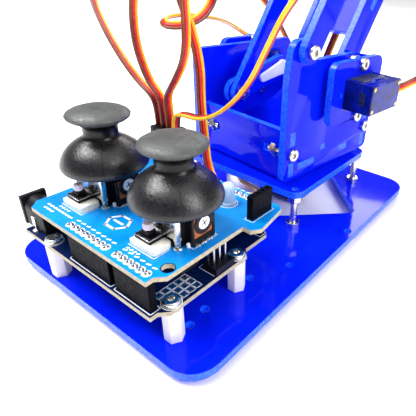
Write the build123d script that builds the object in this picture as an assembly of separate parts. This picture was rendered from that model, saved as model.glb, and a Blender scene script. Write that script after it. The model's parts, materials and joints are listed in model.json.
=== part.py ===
from build123d import *
import math
import os

# Desktop robot arm, millimetres. Z is up, z = 0 is the underside of the base plate, X runs across the
# plate and Y runs from the joystick end towards the arm. The turret is modelled in a frame of its own,
# with its origin on the yaw axis, and is then turned and set on the base.

# ---- driving dimensions -------------------------------------------------------------------------
SHEET = 3.0                      # acrylic sheet thickness
SCREW_R = 1.5                    # M3 thread
HOLE_R = 1.58                    # M3 clearance and pivot hole
HEAD_R = 2.75                    # M3 head
HEAD_H = 1.65                    # M3 button head height
PAN_H = 2.4                      # pan head under the base plate
NUT_FLAT = 5.5                   # M3 nut across flats
NUT_H = 2.4
GAP = 0.2                        # side play between two links

BASE_X = 96.0                    # base plate width
BASE_Y = (-93.0, 61.0)           # base plate ends
BASE_CORNER = 10.0
DIAMOND = 40.5                   # half diagonal of the opening in the base plate
YAW_AXIS = (-5.0, 16.0)
YAW_REST = -6.0                  # how far the turret is turned at rest, degrees
PILLARS = [(24.3, -12.0), (24.3, 44.0), (-31.7, -12.0), (-31.7, 44.0)]
SPARE_HOLES = [(30.1, -70.8), (31.3, -78.5), (38.7, -34.8), (31.8, -49.9)]
BENCH_HOLE_X = 45.0
RAISED_CENTRE = (-3.7, 16.0)
RAISED_HALF = 31.5
RAISED_Z = 18.0

STANDOFFS = [(-21.03, -89.46), (31.04, -84.38), (31.04, -56.44), (-19.76, -41.2)]
STANDOFF_H = 12.0
BOARD_ORIGIN = (-35.0, -92.0)    # corner of the controller board
BOARD_Z = SHEET + STANDOFF_H
PCB = 1.6
SHIELD_Z = 27.6
SHIELD_TOP = SHIELD_Z + PCB

STICK_AXES = {"right": (20.0, -70.2), "left": (-14.6, -70.2)}
STICK_PIVOT_Z = SHIELD_TOP + 9.8
PRESS_TRAVEL = 0.5

SERVO_LENGTH = 22.8              # micro servo case
SERVO_WIDTH = 12.2
SERVO_FLANGE = 32.2
SERVO_FLANGE_T = 2.5
SERVO_BELOW = 15.9               # bottom of the case to the flange
SERVO_ABOVE = 4.3                # flange top to the case top
SERVO_BOSS_H = 4.0
SERVO_BOSS_R = 5.7
SERVO_SHIFT = 5.5                # shaft to the middle of the case
SPLINE_R = 2.4
SPLINE_H = 2.8
HUB_R = 3.5
HUB_H = 4.6

SIDE_IN = 25.0                   # inner face of a turret side plate
SIDE_OUT = SIDE_IN + SHEET
SIDE_Z = 23.0                    # bottom of the side plates
FLOOR_Z = RAISED_Z + SERVO_ABOVE + SERVO_BOSS_H + 0.3
SHOULDER = (17.7, 56.3)          # y, z of the shoulder axis in the turret
ARM = 80.0                       # upper arm, forearm and both level links
LEAN = 57.6                      # upper arm above the horizontal at rest, degrees
RISE = 13.8                      # forearm above the horizontal at rest, degrees
LEVER = 31.2                     # elbow lever and the tail of the forearm
LEVEL = (-38.2, 18.7)            # level link pivot from the shoulder axis
WRIST_UP = (4.0, 26.0)           # front level link from the forearm pivots
LINK_W = 9.0

LEVER_X = (-19.4, -16.4)
PUSHROD_X = (-16.2, -13.2)
FOREARM_LEFT_X = (-13.0, -10.0)
ARM_LEFT_X = (-9.8, -6.8)
ARM_RIGHT_X = (16.4, 19.4)
FOREARM_RIGHT_X = (13.2, 16.2)
TRIANGLE_X = (25.3, 28.3)
REAR_LINK_X = (28.5, 31.5)
FRONT_LINK_X = (22.2, 25.1)

GRIP_X = 4.8                     # middle plane of the gripper
GRIP_REACH = 30.0                # wrist axis to the claw axes
CLAW_GAP = 19.0                  # between the two claw axes
CLAW_TEETH = 16
WIRE_R = 1.4                     # a three-wire ribbon, as a round tube


# ---- helpers ------------------------------------------------------------------------------------
def offset(point, length, degrees):
    """A point at a distance and an angle from another, in the y-z plane of the turret."""
    angle = math.radians(degrees)
    return (point[0] + length * math.cos(angle), point[1] + length * math.sin(angle))


def add(point, step):
    return (point[0] + step[0], point[1] + step[1])


ELBOW = offset(SHOULDER, ARM, LEAN)
LEVER_END = offset(SHOULDER, -LEVER, RISE)
FOREARM_TAIL = offset(ELBOW, -LEVER, RISE)
WRIST = offset(ELBOW, ARM, RISE)
LEVEL_PIVOT = add(SHOULDER, LEVEL)
TRIANGLE_REAR = add(ELBOW, LEVEL)
TRIANGLE_FRONT = add(ELBOW, WRIST_UP)
GRIPPER_TOP = add(WRIST, WRIST_UP)
GRIP_PLATE_Z = WRIST[1] - 9.0
GRIP_Y = WRIST[0] + GRIP_REACH
CLAW_Z = GRIP_PLATE_Z + SERVO_ABOVE + SERVO_BOSS_H + 0.3


def panel(points, radii=0):
    """A flat outline, with every corner rounded alike or only the corners named by number."""
    face = make_face(Polyline(*points, close=True))
    if isinstance(radii, dict):
        for index, radius in radii.items():
            corner = face.vertices().sort_by_distance(Vector(*points[index]))[0]
            face = fillet(corner, radius)
    elif radii:
        face = fillet(face.vertices(), radii)
    return face


def box_panel(x0, x1, y0, y1, radii=0):
    return panel([(x0, y0), (x1, y0), (x1, y1), (x0, y1)], radii)


def sheet_x(face, span):
    """Extrude a y-z outline between two x values."""
    return extrude(Plane.YZ.offset(span[0]) * face, span[1] - span[0])


def sheet_y(face, span):
    """Extrude an x-z outline between two y values."""
    return extrude(Plane.XZ.offset(-span[1]) * face, span[1] - span[0])


def sheet_z(face, span):
    return extrude(Plane.XY.offset(span[0]) * face, span[1] - span[0])


def block(x, y, z):
    """A box between two limits on each axis."""
    return sheet_z(box_panel(x[0], x[1], y[0], y[1]), z)


def rod(start, direction, radius, length):
    return extrude(Plane(origin=start, z_dir=direction) * Circle(radius), length)


def holes(points, radius=HOLE_R):
    return Sketch() + [Pos(p[0], p[1]) * Circle(radius) for p in points]


def screw(under_head, direction, length, head_h=HEAD_H):
    """A screw from the face under its head; direction points from the head to the tip."""
    seat = Plane(origin=under_head, z_dir=direction)
    body = extrude(seat * Circle(SCREW_R), length)
    head = extrude(seat * Circle(HEAD_R), -head_h)
    circles = head.edges().filter_by(GeomType.CIRCLE)
    rim = min(circles, key=lambda edge: (edge.arc_center - seat.origin).dot(seat.z_dir))
    head = fillet(rim, 0.7)
    socket = extrude(seat.offset(-head_h) * RegularPolygon(1.15, 6), 1.1)
    return body + head - socket


def nut(face_point, direction, turn=0):
    seat = Plane(origin=face_point, z_dir=direction) * Rot(0, 0, turn)
    ring = RegularPolygon(NUT_FLAT / 2, 6, major_radius=False) - Circle(SCREW_R)
    return extrude(seat * ring, NUT_H)


def washer(point, direction, length, outer=3.0):
    return extrude(Plane(origin=point, z_dir=direction) * (Circle(outer) - Circle(HOLE_R)), length)


def link(start, end, width=LINK_W, start_hole=HOLE_R, end_hole=HOLE_R):
    """A flat link with round ends and a pivot hole at each end."""
    length = math.dist(start, end)
    angle = math.degrees(math.atan2(end[1] - start[1], end[0] - start[0]))
    middle = ((start[0] + end[0]) / 2, (start[1] + end[1]) / 2)
    face = Pos(*middle) * Rot(0, 0, angle) * SlotCenterToCenter(length, width)
    return face - Pos(*start) * Circle(start_hole) - Pos(*end) * Circle(end_hole)


def along(start, degrees, distance, side=0.0):
    """A point on a link: a distance from its start and to one side of its centre line."""
    return offset(offset(start, distance, degrees), side, degrees + 90)


def cross_slot(start, degrees, distances, thick=SHEET):
    """The slot that a cross piece's tab fills, in a link's own plane."""
    middle = along(start, degrees, sum(distances) / 2)
    width = distances[1] - distances[0]
    return Pos(*middle) * Rot(0, 0, degrees) * Rectangle(width, thick)


def cross_piece(start, degrees, distances, inner_x, outer_x, tab):
    """A brace across two links, with a tab into each of them."""
    run = distances[1] - distances[0]
    middle = along(start, degrees, sum(distances) / 2)
    plane = Plane(origin=(0, middle[0], middle[1]), x_dir=(1, 0, 0),
                  z_dir=(0, -math.sin(math.radians(degrees)), math.cos(math.radians(degrees))))
    web = box_panel(inner_x[0], inner_x[1], -run / 2, run / 2)
    tabs = box_panel(outer_x[0], outer_x[1], -tab / 2, tab / 2)
    return extrude(plane * (web + tabs), SHEET / 2, both=True)


# ---- micro servo --------------------------------------------------------------------------------
def servo(plane):
    """A micro servo. The plane's origin is on the shaft, at the shaft side of the flange."""
    mid = SERVO_SHIFT
    floor = -SERVO_FLANGE_T - SERVO_BELOW
    case = Pos(mid, 0, (floor + SERVO_ABOVE) / 2) * Box(SERVO_LENGTH, SERVO_WIDTH, SERVO_ABOVE - floor)
    case = fillet(case.edges().filter_by(Axis.Z), 0.8)
    wing = Pos(mid, 0) * RectangleRounded(SERVO_FLANGE, SERVO_WIDTH, 1.0)
    for end in (-1, 1):
        wing -= Pos(mid + end * 13.9, 0) * Circle(1.0)
    flange = extrude(Plane.XY.offset(-SERVO_FLANGE_T) * wing, SERVO_FLANGE_T)
    boss = Circle(SERVO_BOSS_R) + Pos(6.2, 0) * Circle(2.9)
    boss = extrude(Plane.XY.offset(SERVO_ABOVE) * boss, SERVO_BOSS_H)
    well = Pos(0, 0, SERVO_ABOVE + SERVO_BOSS_H - 1) * Cylinder(SPLINE_R + 0.1, 2.0)
    return plane * (case + flange + boss - well)


def shaft_and_horn(plane, arms, plate=SHEET):
    """The servo's output shaft with its horn: a hub through the driven sheet and arms on its face."""
    top = SERVO_ABOVE + SERVO_BOSS_H
    shaft = Pos(0, 0, top + SPLINE_H / 2 - 0.6) * Cylinder(SPLINE_R, SPLINE_H + 1.2 - 0.2)
    hub = Pos(0, 0, top + 0.3 + HUB_H / 2) * Cylinder(HUB_R, HUB_H)
    face = top + 0.3 + plate
    for angle, length in arms:
        outline = make_hull((Circle(3.4) + Rot(0, 0, angle) * Pos(length, 0) * Circle(2.0)).edges())
        hub += extrude(Plane.XY.offset(face) * outline, HUB_H - plate)
    return plane * (shaft + hub)


BASE_SERVO = Plane(origin=(YAW_AXIS[0], YAW_AXIS[1], RAISED_Z), x_dir=(1, 0, 0), z_dir=(0, 0, 1))
RIGHT_SERVO = Plane(origin=(SIDE_OUT, SHOULDER[0], SHOULDER[1]), x_dir=(0, -1, 0), z_dir=(-1, 0, 0))
LEFT_SERVO = Plane(origin=(-SIDE_OUT, SHOULDER[0], SHOULDER[1]), x_dir=(0, -1, 0), z_dir=(1, 0, 0))
GRIP_SERVO = Plane(origin=(GRIP_X - CLAW_GAP / 2, GRIP_Y, GRIP_PLATE_Z), x_dir=(-1, 0, 0), z_dir=(0, 0, 1))


# ---- base ---------------------------------------------------------------------------------------
def base_plate():
    face = box_panel(-BASE_X / 2, BASE_X / 2, BASE_Y[0], BASE_Y[1], BASE_CORNER)
    centre = (0.0, 16.0)
    tips = [(centre[0] - DIAMOND, centre[1]), (centre[0], centre[1] - DIAMOND),
            (centre[0] + DIAMOND, centre[1]), (centre[0], centre[1] + DIAMOND)]
    face -= panel(tips, 2.0)
    face -= holes(PILLARS + STANDOFFS + SPARE_HOLES)
    face -= holes([(-BENCH_HOLE_X, 0), (BENCH_HOLE_X, 0)], 1.6)
    return sheet_z(face, (0, SHEET))


def raised_plate():
    cx, cy = RAISED_CENTRE
    face = Pos(cx, cy) * RectangleRounded(2 * RAISED_HALF, 2 * RAISED_HALF, 5.0)
    face -= holes(PILLARS)
    face -= Pos(YAW_AXIS[0] + SERVO_SHIFT, YAW_AXIS[1]) * Rectangle(SERVO_LENGTH + 0.4, SERVO_WIDTH + 0.4)
    face -= holes([(YAW_AXIS[0] + SERVO_SHIFT + s * 13.9, YAW_AXIS[1]) for s in (-1, 1)], 1.0)
    return sheet_z(face, (RAISED_Z, RAISED_Z + SHEET))


def pillar_fasteners():
    pieces = []
    for x, y in PILLARS:
        pieces.append(screw((x, y, 0), (0, 0, 1), 20.0, PAN_H))
        pieces.append(nut((x, y, SHEET), (0, 0, 1)))
        pieces.append(nut((x, y, RAISED_Z - NUT_H), (0, 0, 1)))
    return pieces


def board_standoffs():
    ring = RegularPolygon(NUT_FLAT / 2, 6, major_radius=False) - Circle(SCREW_R)
    return [extrude(Pos(x, y, SHEET) * ring, STANDOFF_H) for x, y in STANDOFFS]


def board_screws():
    pieces = []
    for x, y in STANDOFFS:
        pieces.append(screw((x, y, 0), (0, 0, 1), 8.0, PAN_H))
        pieces.append(screw((x, y, BOARD_Z + PCB), (0, 0, -1), 5.0))
    return pieces


# ---- controller board and shield ----------------------------------------------------------------
def on_board(x, y):
    return (BOARD_ORIGIN[0] + x, BOARD_ORIGIN[1] + y)


def controller_board():
    corners = [(0, 0), (66.04, 0), (66.04, 2.54), (68.58, 5.08), (68.58, 37.85), (66.04, 40.39),
               (66.04, 51.82), (64.52, 53.34), (0, 53.34)]
    face = panel([on_board(*c) for c in corners])
    return sheet_z(face - holes(STANDOFFS), (BOARD_Z, BOARD_Z + PCB))


def board_block(x, y, z):
    """A box in board coordinates, z counted from the board's top."""
    low = on_board(x[0], y[0])
    high = on_board(x[1], y[1])
    top = BOARD_Z + PCB
    return block((low[0], high[0]), (low[1], high[1]), (top + z[0], top + z[1]))


def power_jack():
    """A square flange in front of a round barrel on a low foot."""
    x, y = on_board(-4.0, 6.3)
    axis_z = BOARD_Z + PCB + 6.2
    flange = board_block((-4.0, -2.4), (1.9, 10.7), (0, 10.8))
    foot = board_block((-2.4, 9.6), (2.3, 10.3), (0, 6.2))
    barrel = rod((x + 1.6, y, axis_z), (1, 0, 0), 4.0, 12.0)
    return flange + foot + barrel - rod((x, y, axis_z), (1, 0, 0), 3.15, 9.5)


def usb_socket():
    body = board_block((-6.2, 10.0), (31.8, 43.8), (0, 10.8))
    return body - board_block((-6.2, 2.0), (33.6, 42.0), (1.6, 9.2))


HEADER_ROWS = [((26.7, 47.0), (1.3, 3.8)), ((49.5, 64.8), (1.3, 3.8)),
               ((18.8, 42.9), (49.5, 52.0)), ((44.5, 64.8), (49.5, 52.0))]


def board_headers():
    pieces = []
    for x, y in HEADER_ROWS:
        row = board_block(x, y, (0, 8.5))
        count = round((x[1] - x[0]) / 2.54)
        for index in range(count):
            middle = x[0] + (index + 0.5) * (x[1] - x[0]) / count
            row -= board_block((middle - 0.45, middle + 0.45), (y[0] + 0.8, y[1] - 0.8), (2.5, 8.5))
        pieces.append(row)
    return pieces


def board_chips():
    chip = board_block((25.0, 60.0), (17.0, 24.4), (0.6, 4.4))
    chip = chamfer(chip.edges().group_by(Axis.Z)[-1], 0.5)
    legs = [board_block((27.0 + 2.54 * i, 27.5 + 2.54 * i), (16.4, 25.0), (0, 1.2)) for i in range(13)]
    driver = board_block((14.0, 19.0), (30.0, 35.0), (0, 1.2))
    crystal = board_block((13.0, 24.0), (38.5, 42.5), (0, 3.4))
    crystal = fillet(crystal.edges().filter_by(Axis.Z), 1.9)
    cans = [rod((*on_board(15.5, y), BOARD_Z + PCB), (0, 0, 1), 3.1, 5.6) for y in (10.5, 18.0)]
    pins = [board_block((62.9 + 2.54 * i, 63.5 + 2.54 * i), (24.9 + 2.54 * j, 25.5 + 2.54 * j), (0, 8.4))
            for i in range(2) for j in range(3)]
    return [chip + legs, driver, crystal] + cans + pins


def shield_board():
    corners = [(9.7, 0), (66.04, 0), (66.04, 2.54), (68.58, 5.08), (68.58, 35.5), (71.7, 35.5),
               (73.8, 38.6), (71.5, 52.4), (69.3, 54), (8.8, 54), (6.8, 52), (6.8, 3.2)]
    face = panel([on_board(*c) for c in corners])
    face -= holes([on_board(66.04, 7.62)], 1.85)
    return sheet_z(face, (SHIELD_Z, SHIELD_TOP))


def pin_row(x0, x1, y, foot, top, housing):
    """A strip of square pins in one housing, in board coordinates with z from the base plate."""
    strip = block((BOARD_ORIGIN[0] + x0, BOARD_ORIGIN[0] + x1),
                  (BOARD_ORIGIN[1] + y - 1.27, BOARD_ORIGIN[1] + y + 1.27), housing)
    count = round((x1 - x0) / 2.54)
    for index in range(count):
        middle = x0 + (index + 0.5) * (x1 - x0) / count
        px, py = on_board(middle, y)
        strip += block((px - 0.32, px + 0.32), (py - 0.32, py + 0.32), (foot, top))
    return strip


def shield_pins():
    header_top = BOARD_Z + PCB + 8.5
    rows = []
    for x, y in HEADER_ROWS:
        rows.append(pin_row(x[0], x[1], sum(y) / 2, header_top - 5.5, SHIELD_Z, (header_top, SHIELD_Z)))
    return rows


PLUG_X = [-20.5, -17.5, -14.5, -11.5]
PLUG_Y = -42.0
PLUG_Z = (SHIELD_TOP + 2.5, SHIELD_TOP + 16.5)


def servo_pin_header():
    body = block((PLUG_X[0] - 1.5, PLUG_X[-1] + 1.5), (PLUG_Y - 3.81, PLUG_Y + 3.81),
                 (SHIELD_TOP, PLUG_Z[0]))
    for x in PLUG_X:
        for row in (-2.54, 0, 2.54):
            y = PLUG_Y + row
            body += block((x - 0.32, x + 0.32), (y - 0.32, y + 0.32), (PLUG_Z[0], PLUG_Z[0] + 6.0))
    return body


def servo_plugs():
    pieces = []
    for x in PLUG_X:
        plug = block((x - 1.25, x + 1.25), (PLUG_Y - 3.81, PLUG_Y + 3.81), PLUG_Z)
        for row in (-2.54, 0, 2.54):
            y = PLUG_Y + row
            plug -= block((x - 0.4, x + 0.4), (y - 0.4, y + 0.4), (PLUG_Z[0], PLUG_Z[0] + 8.0))
        pieces.append(plug)
    return pieces


def module_socket():
    low = on_board(66.4, 40.0)
    high = on_board(68.9, 50.2)
    body = block((low[0], high[0]), (low[1], high[1]), (SHIELD_TOP, SHIELD_TOP + 8.5))
    for index in range(4):
        y = low[1] + 1.3 + 2.54 * index
        middle = (low[0] + high[0]) / 2
        body -= block((middle - 0.45, middle + 0.45), (y - 0.45, y + 0.45), (SHIELD_TOP + 2, SHIELD_TOP + 8.5))
    return body


def status_led():
    x, y = on_board(55.2, 43.5)
    profile = panel([(0, 0), (2.9, 0), (2.9, 1.0), (2.5, 1.0), (2.5, 5.6), (0, 8.1)], {4: 2.0})
    return Pos(x, y, SHIELD_TOP) * revolve(Plane.XZ * profile, Axis.Z)


# ---- joystick -----------------------------------------------------------------------------------
def joystick_housing(axis):
    """The fixed frame that the yoke turns in, open at the top for the stick."""
    half = 7.0
    inner = 5.8
    wall_z = (-STICK_PIVOT_Z + SHIELD_TOP, 2.0)
    shell = block((-half, half), (-half, half), wall_z)
    shell -= block((-inner, inner), (-inner, inner), (-8.6, 1.0))
    shell -= rod((0, 0, 0.5), (0, 0, 1), 5.3, 2.0)
    for side in (-1, 1):
        shell -= rod((side * inner, 0, 0), (side, 0, 0), 0.95, half - inner)
    return Pos(axis[0], axis[1], STICK_PIVOT_Z) * shell


def joystick_sensors(axis):
    """Two potentiometers on the sides of the frame and a push switch on a pad in front of it."""
    foot = SHIELD_TOP - STICK_PIVOT_Z
    pot_x = block((7.0, 9.8), (-3.8, 5.4), (foot, -0.6))
    pot_x = chamfer(pot_x.edges().group_by(Axis.X)[-1].filter_by(Axis.Z), 0.8)
    pot_y = block((-4.5, 4.5), (7.0, 9.4), (foot, -0.6))
    switch = block((-5.6, 4.8), (-13.9, -7.0), (foot, -7.8))
    switch += block((-4.9, 1.9), (-12.7, -7.2), (-7.8, -6.2))
    button = rod((-1.5, -10.0, -6.2), (0, 0, 1), 1.6, 3.7)
    place = Pos(axis[0], axis[1], STICK_PIVOT_Z)
    return [place * pot_x, place * pot_y, place * (switch + button)]


def joystick_yoke(axis):
    """A ring that turns about X on two pins."""
    ring = extrude(Circle(4.7) - Circle(3.2), 1.3, both=True)
    for side in (-1, 1):
        ring += rod((side * 4.0, 0, 0), (side, 0, 0), 0.9, 2.85)
        ring -= rod((0, side * 3.0, 0), (0, side, 0), 0.76, 2.0)
    return Pos(axis[0], axis[1], STICK_PIVOT_Z) * ring


def joystick_stick(axis):
    """The stem, with a ball and a cross pin along Y."""
    stem = rod((0, 0, -6.0), (0, 0, 1), 1.5, 17.0) + Sphere(2.4)
    stem += rod((0, -4.3, 0), (0, 1, 0), 0.7, 8.6)
    return Pos(axis[0], axis[1], STICK_PIVOT_Z) * stem


def joystick_cap(axis):
    """The rubber cap: a skirt round the frame, a neck and a dished thumb disc."""
    sphere_r = 12.8
    rim_z = 1.5
    skirt = [(math.sqrt(sphere_r ** 2 - z ** 2), z) for z in (rim_z, 2.8, 4.0)]
    with BuildSketch(Plane.XZ) as section:
        with BuildLine():
            ThreePointArc(*skirt)
            Polyline(skirt[2], (10.6, 6.2), (7.0, 7.6), (3.2, 8.0), (3.2, 5.0), (1.55, 5.0))
            Polyline((1.55, 5.0), (1.55, 11.0 + PRESS_TRAVEL + 0.1), (0, 11.0 + PRESS_TRAVEL + 0.1))
            Polyline((0, 11.0 + PRESS_TRAVEL + 0.1), (0, 21.4), (4.2, 21.1))
            Spline((4.2, 21.1), (8.5, 20.2), (9.9, 18.9), (8.9, 17.6), (6.4, 16.2), (5.4, 14.3),
                   (5.8, 12.0), (8.0, 10.3), (11.2, 7.9), (13.2, 5.0), (14.0, 2.9), (13.6, rim_z))
            Line((13.6, rim_z), skirt[0])
        make_face()
    return Pos(axis[0], axis[1], STICK_PIVOT_Z) * revolve(section.sketch, Axis.Z)


# ---- turret, in its own frame -------------------------------------------------------------------
FRONT_Y = (-25.3, -22.3)
MIDDLE_Y = (-4.0, -1.0)
BACK_Y = (28.9, 31.9)
FLOOR_TABS = [(-19.2, -8.3), (11.0, 17.0)]
T_SCREW_Z = 34.7
COLLAR = ((-8.0, 28.7), (43.7, 69.6))
COLLAR_SCREWS = [(12.2, 67.3), (12.2, 45.3)]


def side_cuts():
    """What both turret side plates have cut out of them, in y and z."""
    cuts = holes([(sum(FRONT_Y) / 2, T_SCREW_Z), (sum(BACK_Y) / 2, T_SCREW_Z)] + COLLAR_SCREWS)
    for y0, y1 in FLOOR_TABS:
        cuts += box_panel(y0, y1, FLOOR_Z, FLOOR_Z + SHEET)
    for y0, y1 in (FRONT_Y, BACK_Y):
        cuts += box_panel(y0, y1, 25.0, 31.0)
        cuts += box_panel(y0, y1, 38.4, 44.0)
    cuts += box_panel(MIDDLE_Y[0], MIDDLE_Y[1], 31.5, 33.8)
    middle = SHOULDER[0] - SERVO_SHIFT
    cuts += Pos(middle, SHOULDER[1]) * Rectangle(SERVO_LENGTH + 0.3, SERVO_WIDTH + 0.3)
    return cuts


def turret_side_right():
    corners = [(-28.4, SIDE_Z), (-28.4, 67.4), (-26.4, 78.9), (-15.6, 78.9), (-13.0, 70.8), (14.0, 70.8),
               (34.8, 67.0), (34.8, SIDE_Z)]
    face = panel(corners, {0: 3.0, 1: 6.0, 2: 4.6, 3: 4.6, 4: 2.0, 5: 8.0, 6: 4.0, 7: 3.0})
    return sheet_x(face - side_cuts() - holes([LEVEL_PIVOT]), (SIDE_IN, SIDE_OUT))


def turret_side_left():
    corners = [(-28.4, SIDE_Z), (-28.4, 68.0), (34.8, 68.0), (34.8, SIDE_Z)]
    face = panel(corners, {0: 3.0, 1: 4.0, 2: 4.0, 3: 3.0})
    return sheet_x(face - side_cuts(), (-SIDE_OUT, -SIDE_IN))


def turret_floor():
    face = box_panel(-SIDE_IN, SIDE_IN, FRONT_Y[1], BACK_Y[0])
    for y0, y1 in FLOOR_TABS:
        face += box_panel(-SIDE_OUT, SIDE_OUT, y0, y1)
    face -= Circle(HUB_R)
    return sheet_z(face, (FLOOR_Z, FLOOR_Z + SHEET))


def t_slot(side):
    """The slot for a nut and the tip of a screw that comes in through a side plate."""
    slot = box_panel(min(side * 25, side * 14), max(side * 25, side * 14), T_SCREW_Z - 1.6, T_SCREW_Z + 1.6)
    x0 = side * 18
    slot += box_panel(min(x0, x0 + side * 2.5), max(x0, x0 + side * 2.5), T_SCREW_Z - 2.8, T_SCREW_Z + 2.8)
    return slot


def cross_wall(top):
    """A wall across the turret with two tabs and a nut slot at each side."""
    face = box_panel(-SIDE_IN, SIDE_IN, SIDE_Z, top)
    face += box_panel(-SIDE_OUT, SIDE_OUT, 25.0, 31.0)
    face += box_panel(-SIDE_OUT, SIDE_OUT, 38.4, 44.0)
    return face - t_slot(-1) - t_slot(1)


def turret_front():
    return sheet_y(cross_wall(44.0), FRONT_Y)


def turret_back():
    return sheet_y(cross_wall(48.0), BACK_Y)


def turret_middle():
    """The middle wall, low on the lever's side and curving up to the right."""
    with BuildSketch(Plane.XZ) as section:
        with BuildLine():
            Polyline((-25, 34), (-25, 31.5), (25, 31.5), (25, 60), (12, 60))
            Spline((12, 60), (4, 54), (-2, 48), (-12, 41), (-25, 34))
        make_face()
    wall = extrude(section.sketch, SHEET)
    wall = Pos(0, MIDDLE_Y[1], 0) * wall
    return wall + block((-SIDE_OUT, SIDE_OUT), MIDDLE_Y, (31.5, 33.8))


def turret_screws():
    pieces = []
    for y in (sum(FRONT_Y) / 2, sum(BACK_Y) / 2):
        for side in (-1, 1):
            pieces.append(screw((side * SIDE_OUT, y, T_SCREW_Z), (-side, 0, 0), 12.0))
            x = side * 18 if side > 0 else side * 18 - 2.4
            pieces.append(nut((x, y, T_SCREW_Z), (1, 0, 0), 30))
    for y, z in COLLAR_SCREWS:
        for side in (-1, 1):
            pieces.append(screw((side * 33.5, y, z), (-side, 0, 0), 11.5))
            pieces.append(nut((side * SIDE_IN, y, z), (-side, 0, 0)))
            pieces.append(washer((side * SIDE_OUT, y, z), (side, 0, 0), SERVO_FLANGE_T))
    pieces.append(screw((REAR_LINK_X[1] + 0.1, *LEVEL_PIVOT), (-1, 0, 0), 10.0))
    pieces.append(nut((SIDE_IN, *LEVEL_PIVOT), (-1, 0, 0)))
    return pieces


def servo_collars():
    middle = SHOULDER[0] - SERVO_SHIFT
    face = box_panel(*COLLAR[0], *COLLAR[1], 4.0)
    face -= Pos(middle, SHOULDER[1]) * Rectangle(SERVO_LENGTH + 0.3, SERVO_WIDTH + 0.3)
    face -= holes(COLLAR_SCREWS)
    face -= holes([(middle + s * 13.9, SHOULDER[1]) for s in (-1, 1)], 1.0)
    inner = SIDE_OUT + SERVO_FLANGE_T
    return [sheet_x(face, (inner, inner + SHEET)), sheet_x(face, (-inner - SHEET, -inner))]


# ---- arm and links, in the turret's frame -------------------------------------------------------
ARM_BRACE = (22.0, 60.0)
FOREARM_BRACE = (26.0, 52.0)
TAB = 12.0


def brace_tab(distances):
    middle = sum(distances) / 2
    return (middle - TAB / 2, middle + TAB / 2)


def upper_arm_bars():
    right = link(SHOULDER, ELBOW, 13.0, HUB_R)
    left = link(offset(SHOULDER, 16.0, LEAN), ELBOW, 10.0)
    slot = cross_slot(SHOULDER, LEAN, brace_tab(ARM_BRACE))
    return [sheet_x(right - slot, ARM_RIGHT_X), sheet_x(left - slot, ARM_LEFT_X)]


def upper_arm_brace():
    return cross_piece(SHOULDER, LEAN, ARM_BRACE, (ARM_LEFT_X[1], ARM_RIGHT_X[0]),
                       (ARM_LEFT_X[0], ARM_RIGHT_X[1]), TAB)


def forearm_bars():
    left = link(FOREARM_TAIL, WRIST, 10.0)
    left -= holes([ELBOW])
    right = link(ELBOW, WRIST, 10.0)
    slot = cross_slot(ELBOW, RISE, brace_tab(FOREARM_BRACE))
    return [sheet_x(left - slot, FOREARM_LEFT_X), sheet_x(right - slot, FOREARM_RIGHT_X)]


def forearm_brace():
    return cross_piece(ELBOW, RISE, FOREARM_BRACE, (FOREARM_LEFT_X[1], FOREARM_RIGHT_X[0]),
                       (FOREARM_LEFT_X[0], FOREARM_RIGHT_X[1]), TAB)


def elbow_triangle():
    rings = [Pos(*p) * Circle(5.0) for p in (ELBOW, TRIANGLE_REAR, TRIANGLE_FRONT)]
    edges = [edge for ring in rings for edge in ring.edges()]
    face = make_hull(edges) - holes([ELBOW, TRIANGLE_REAR, TRIANGLE_FRONT])
    middle = (ELBOW[0] - 11.0, ELBOW[1] + 16.0)
    return sheet_x(face - Pos(*middle) * Circle(6.0), TRIANGLE_X)


def triangle_screws():
    """The elbow's right pivot with its spacer, and the pivots of both level links."""
    return [
        screw((TRIANGLE_X[1], *ELBOW), (-1, 0, 0), 18.0),
        nut((FOREARM_RIGHT_X[0] - 0.1, *ELBOW), (-1, 0, 0)),
        washer((ARM_RIGHT_X[1] + 0.1, *ELBOW), (1, 0, 0), TRIANGLE_X[0] - ARM_RIGHT_X[1] - 0.1),
        screw((REAR_LINK_X[1] + 0.1, *TRIANGLE_REAR), (-1, 0, 0), 10.0),
        nut((TRIANGLE_X[0], *TRIANGLE_REAR), (-1, 0, 0)),
        screw((TRIANGLE_X[1], *TRIANGLE_FRONT), (-1, 0, 0), 10.0),
        nut((FRONT_LINK_X[0] - 0.1, *TRIANGLE_FRONT), (-1, 0, 0)),
    ]


def forearm_screws():
    """The elbow's left pivot, the pushrod's upper pivot and the two wrist pivots."""
    pieces = [
        screw((FOREARM_LEFT_X[0], *ELBOW), (1, 0, 0), 10.0),
        nut((ARM_LEFT_X[1] + 0.1, *ELBOW), (1, 0, 0)),
        screw((PUSHROD_X[0] - 0.1, *FOREARM_TAIL), (1, 0, 0), 10.0),
        nut((FOREARM_LEFT_X[1], *FOREARM_TAIL), (1, 0, 0)),
        screw((FOREARM_LEFT_X[0], *WRIST), (1, 0, 0), 10.0),
        nut((ARM_LEFT_X[1] + 0.1, *WRIST), (1, 0, 0)),
        screw((FOREARM_RIGHT_X[0], *WRIST), (1, 0, 0), 10.0),
        nut((ARM_RIGHT_X[1] + 0.1, *WRIST), (1, 0, 0)),
    ]
    return pieces


def elbow_lever():
    return sheet_x(link(SHOULDER, LEVER_END, 11.0, HUB_R), LEVER_X)


def lever_pin():
    return [screw((LEVER_X[0] - 0.1, *LEVER_END), (1, 0, 0), 10.0),
            nut((PUSHROD_X[1] + 0.1, *LEVER_END), (1, 0, 0))]


# ---- gripper, in the turret's frame -------------------------------------------------------------
EAR_FRONT = 13.0


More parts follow.
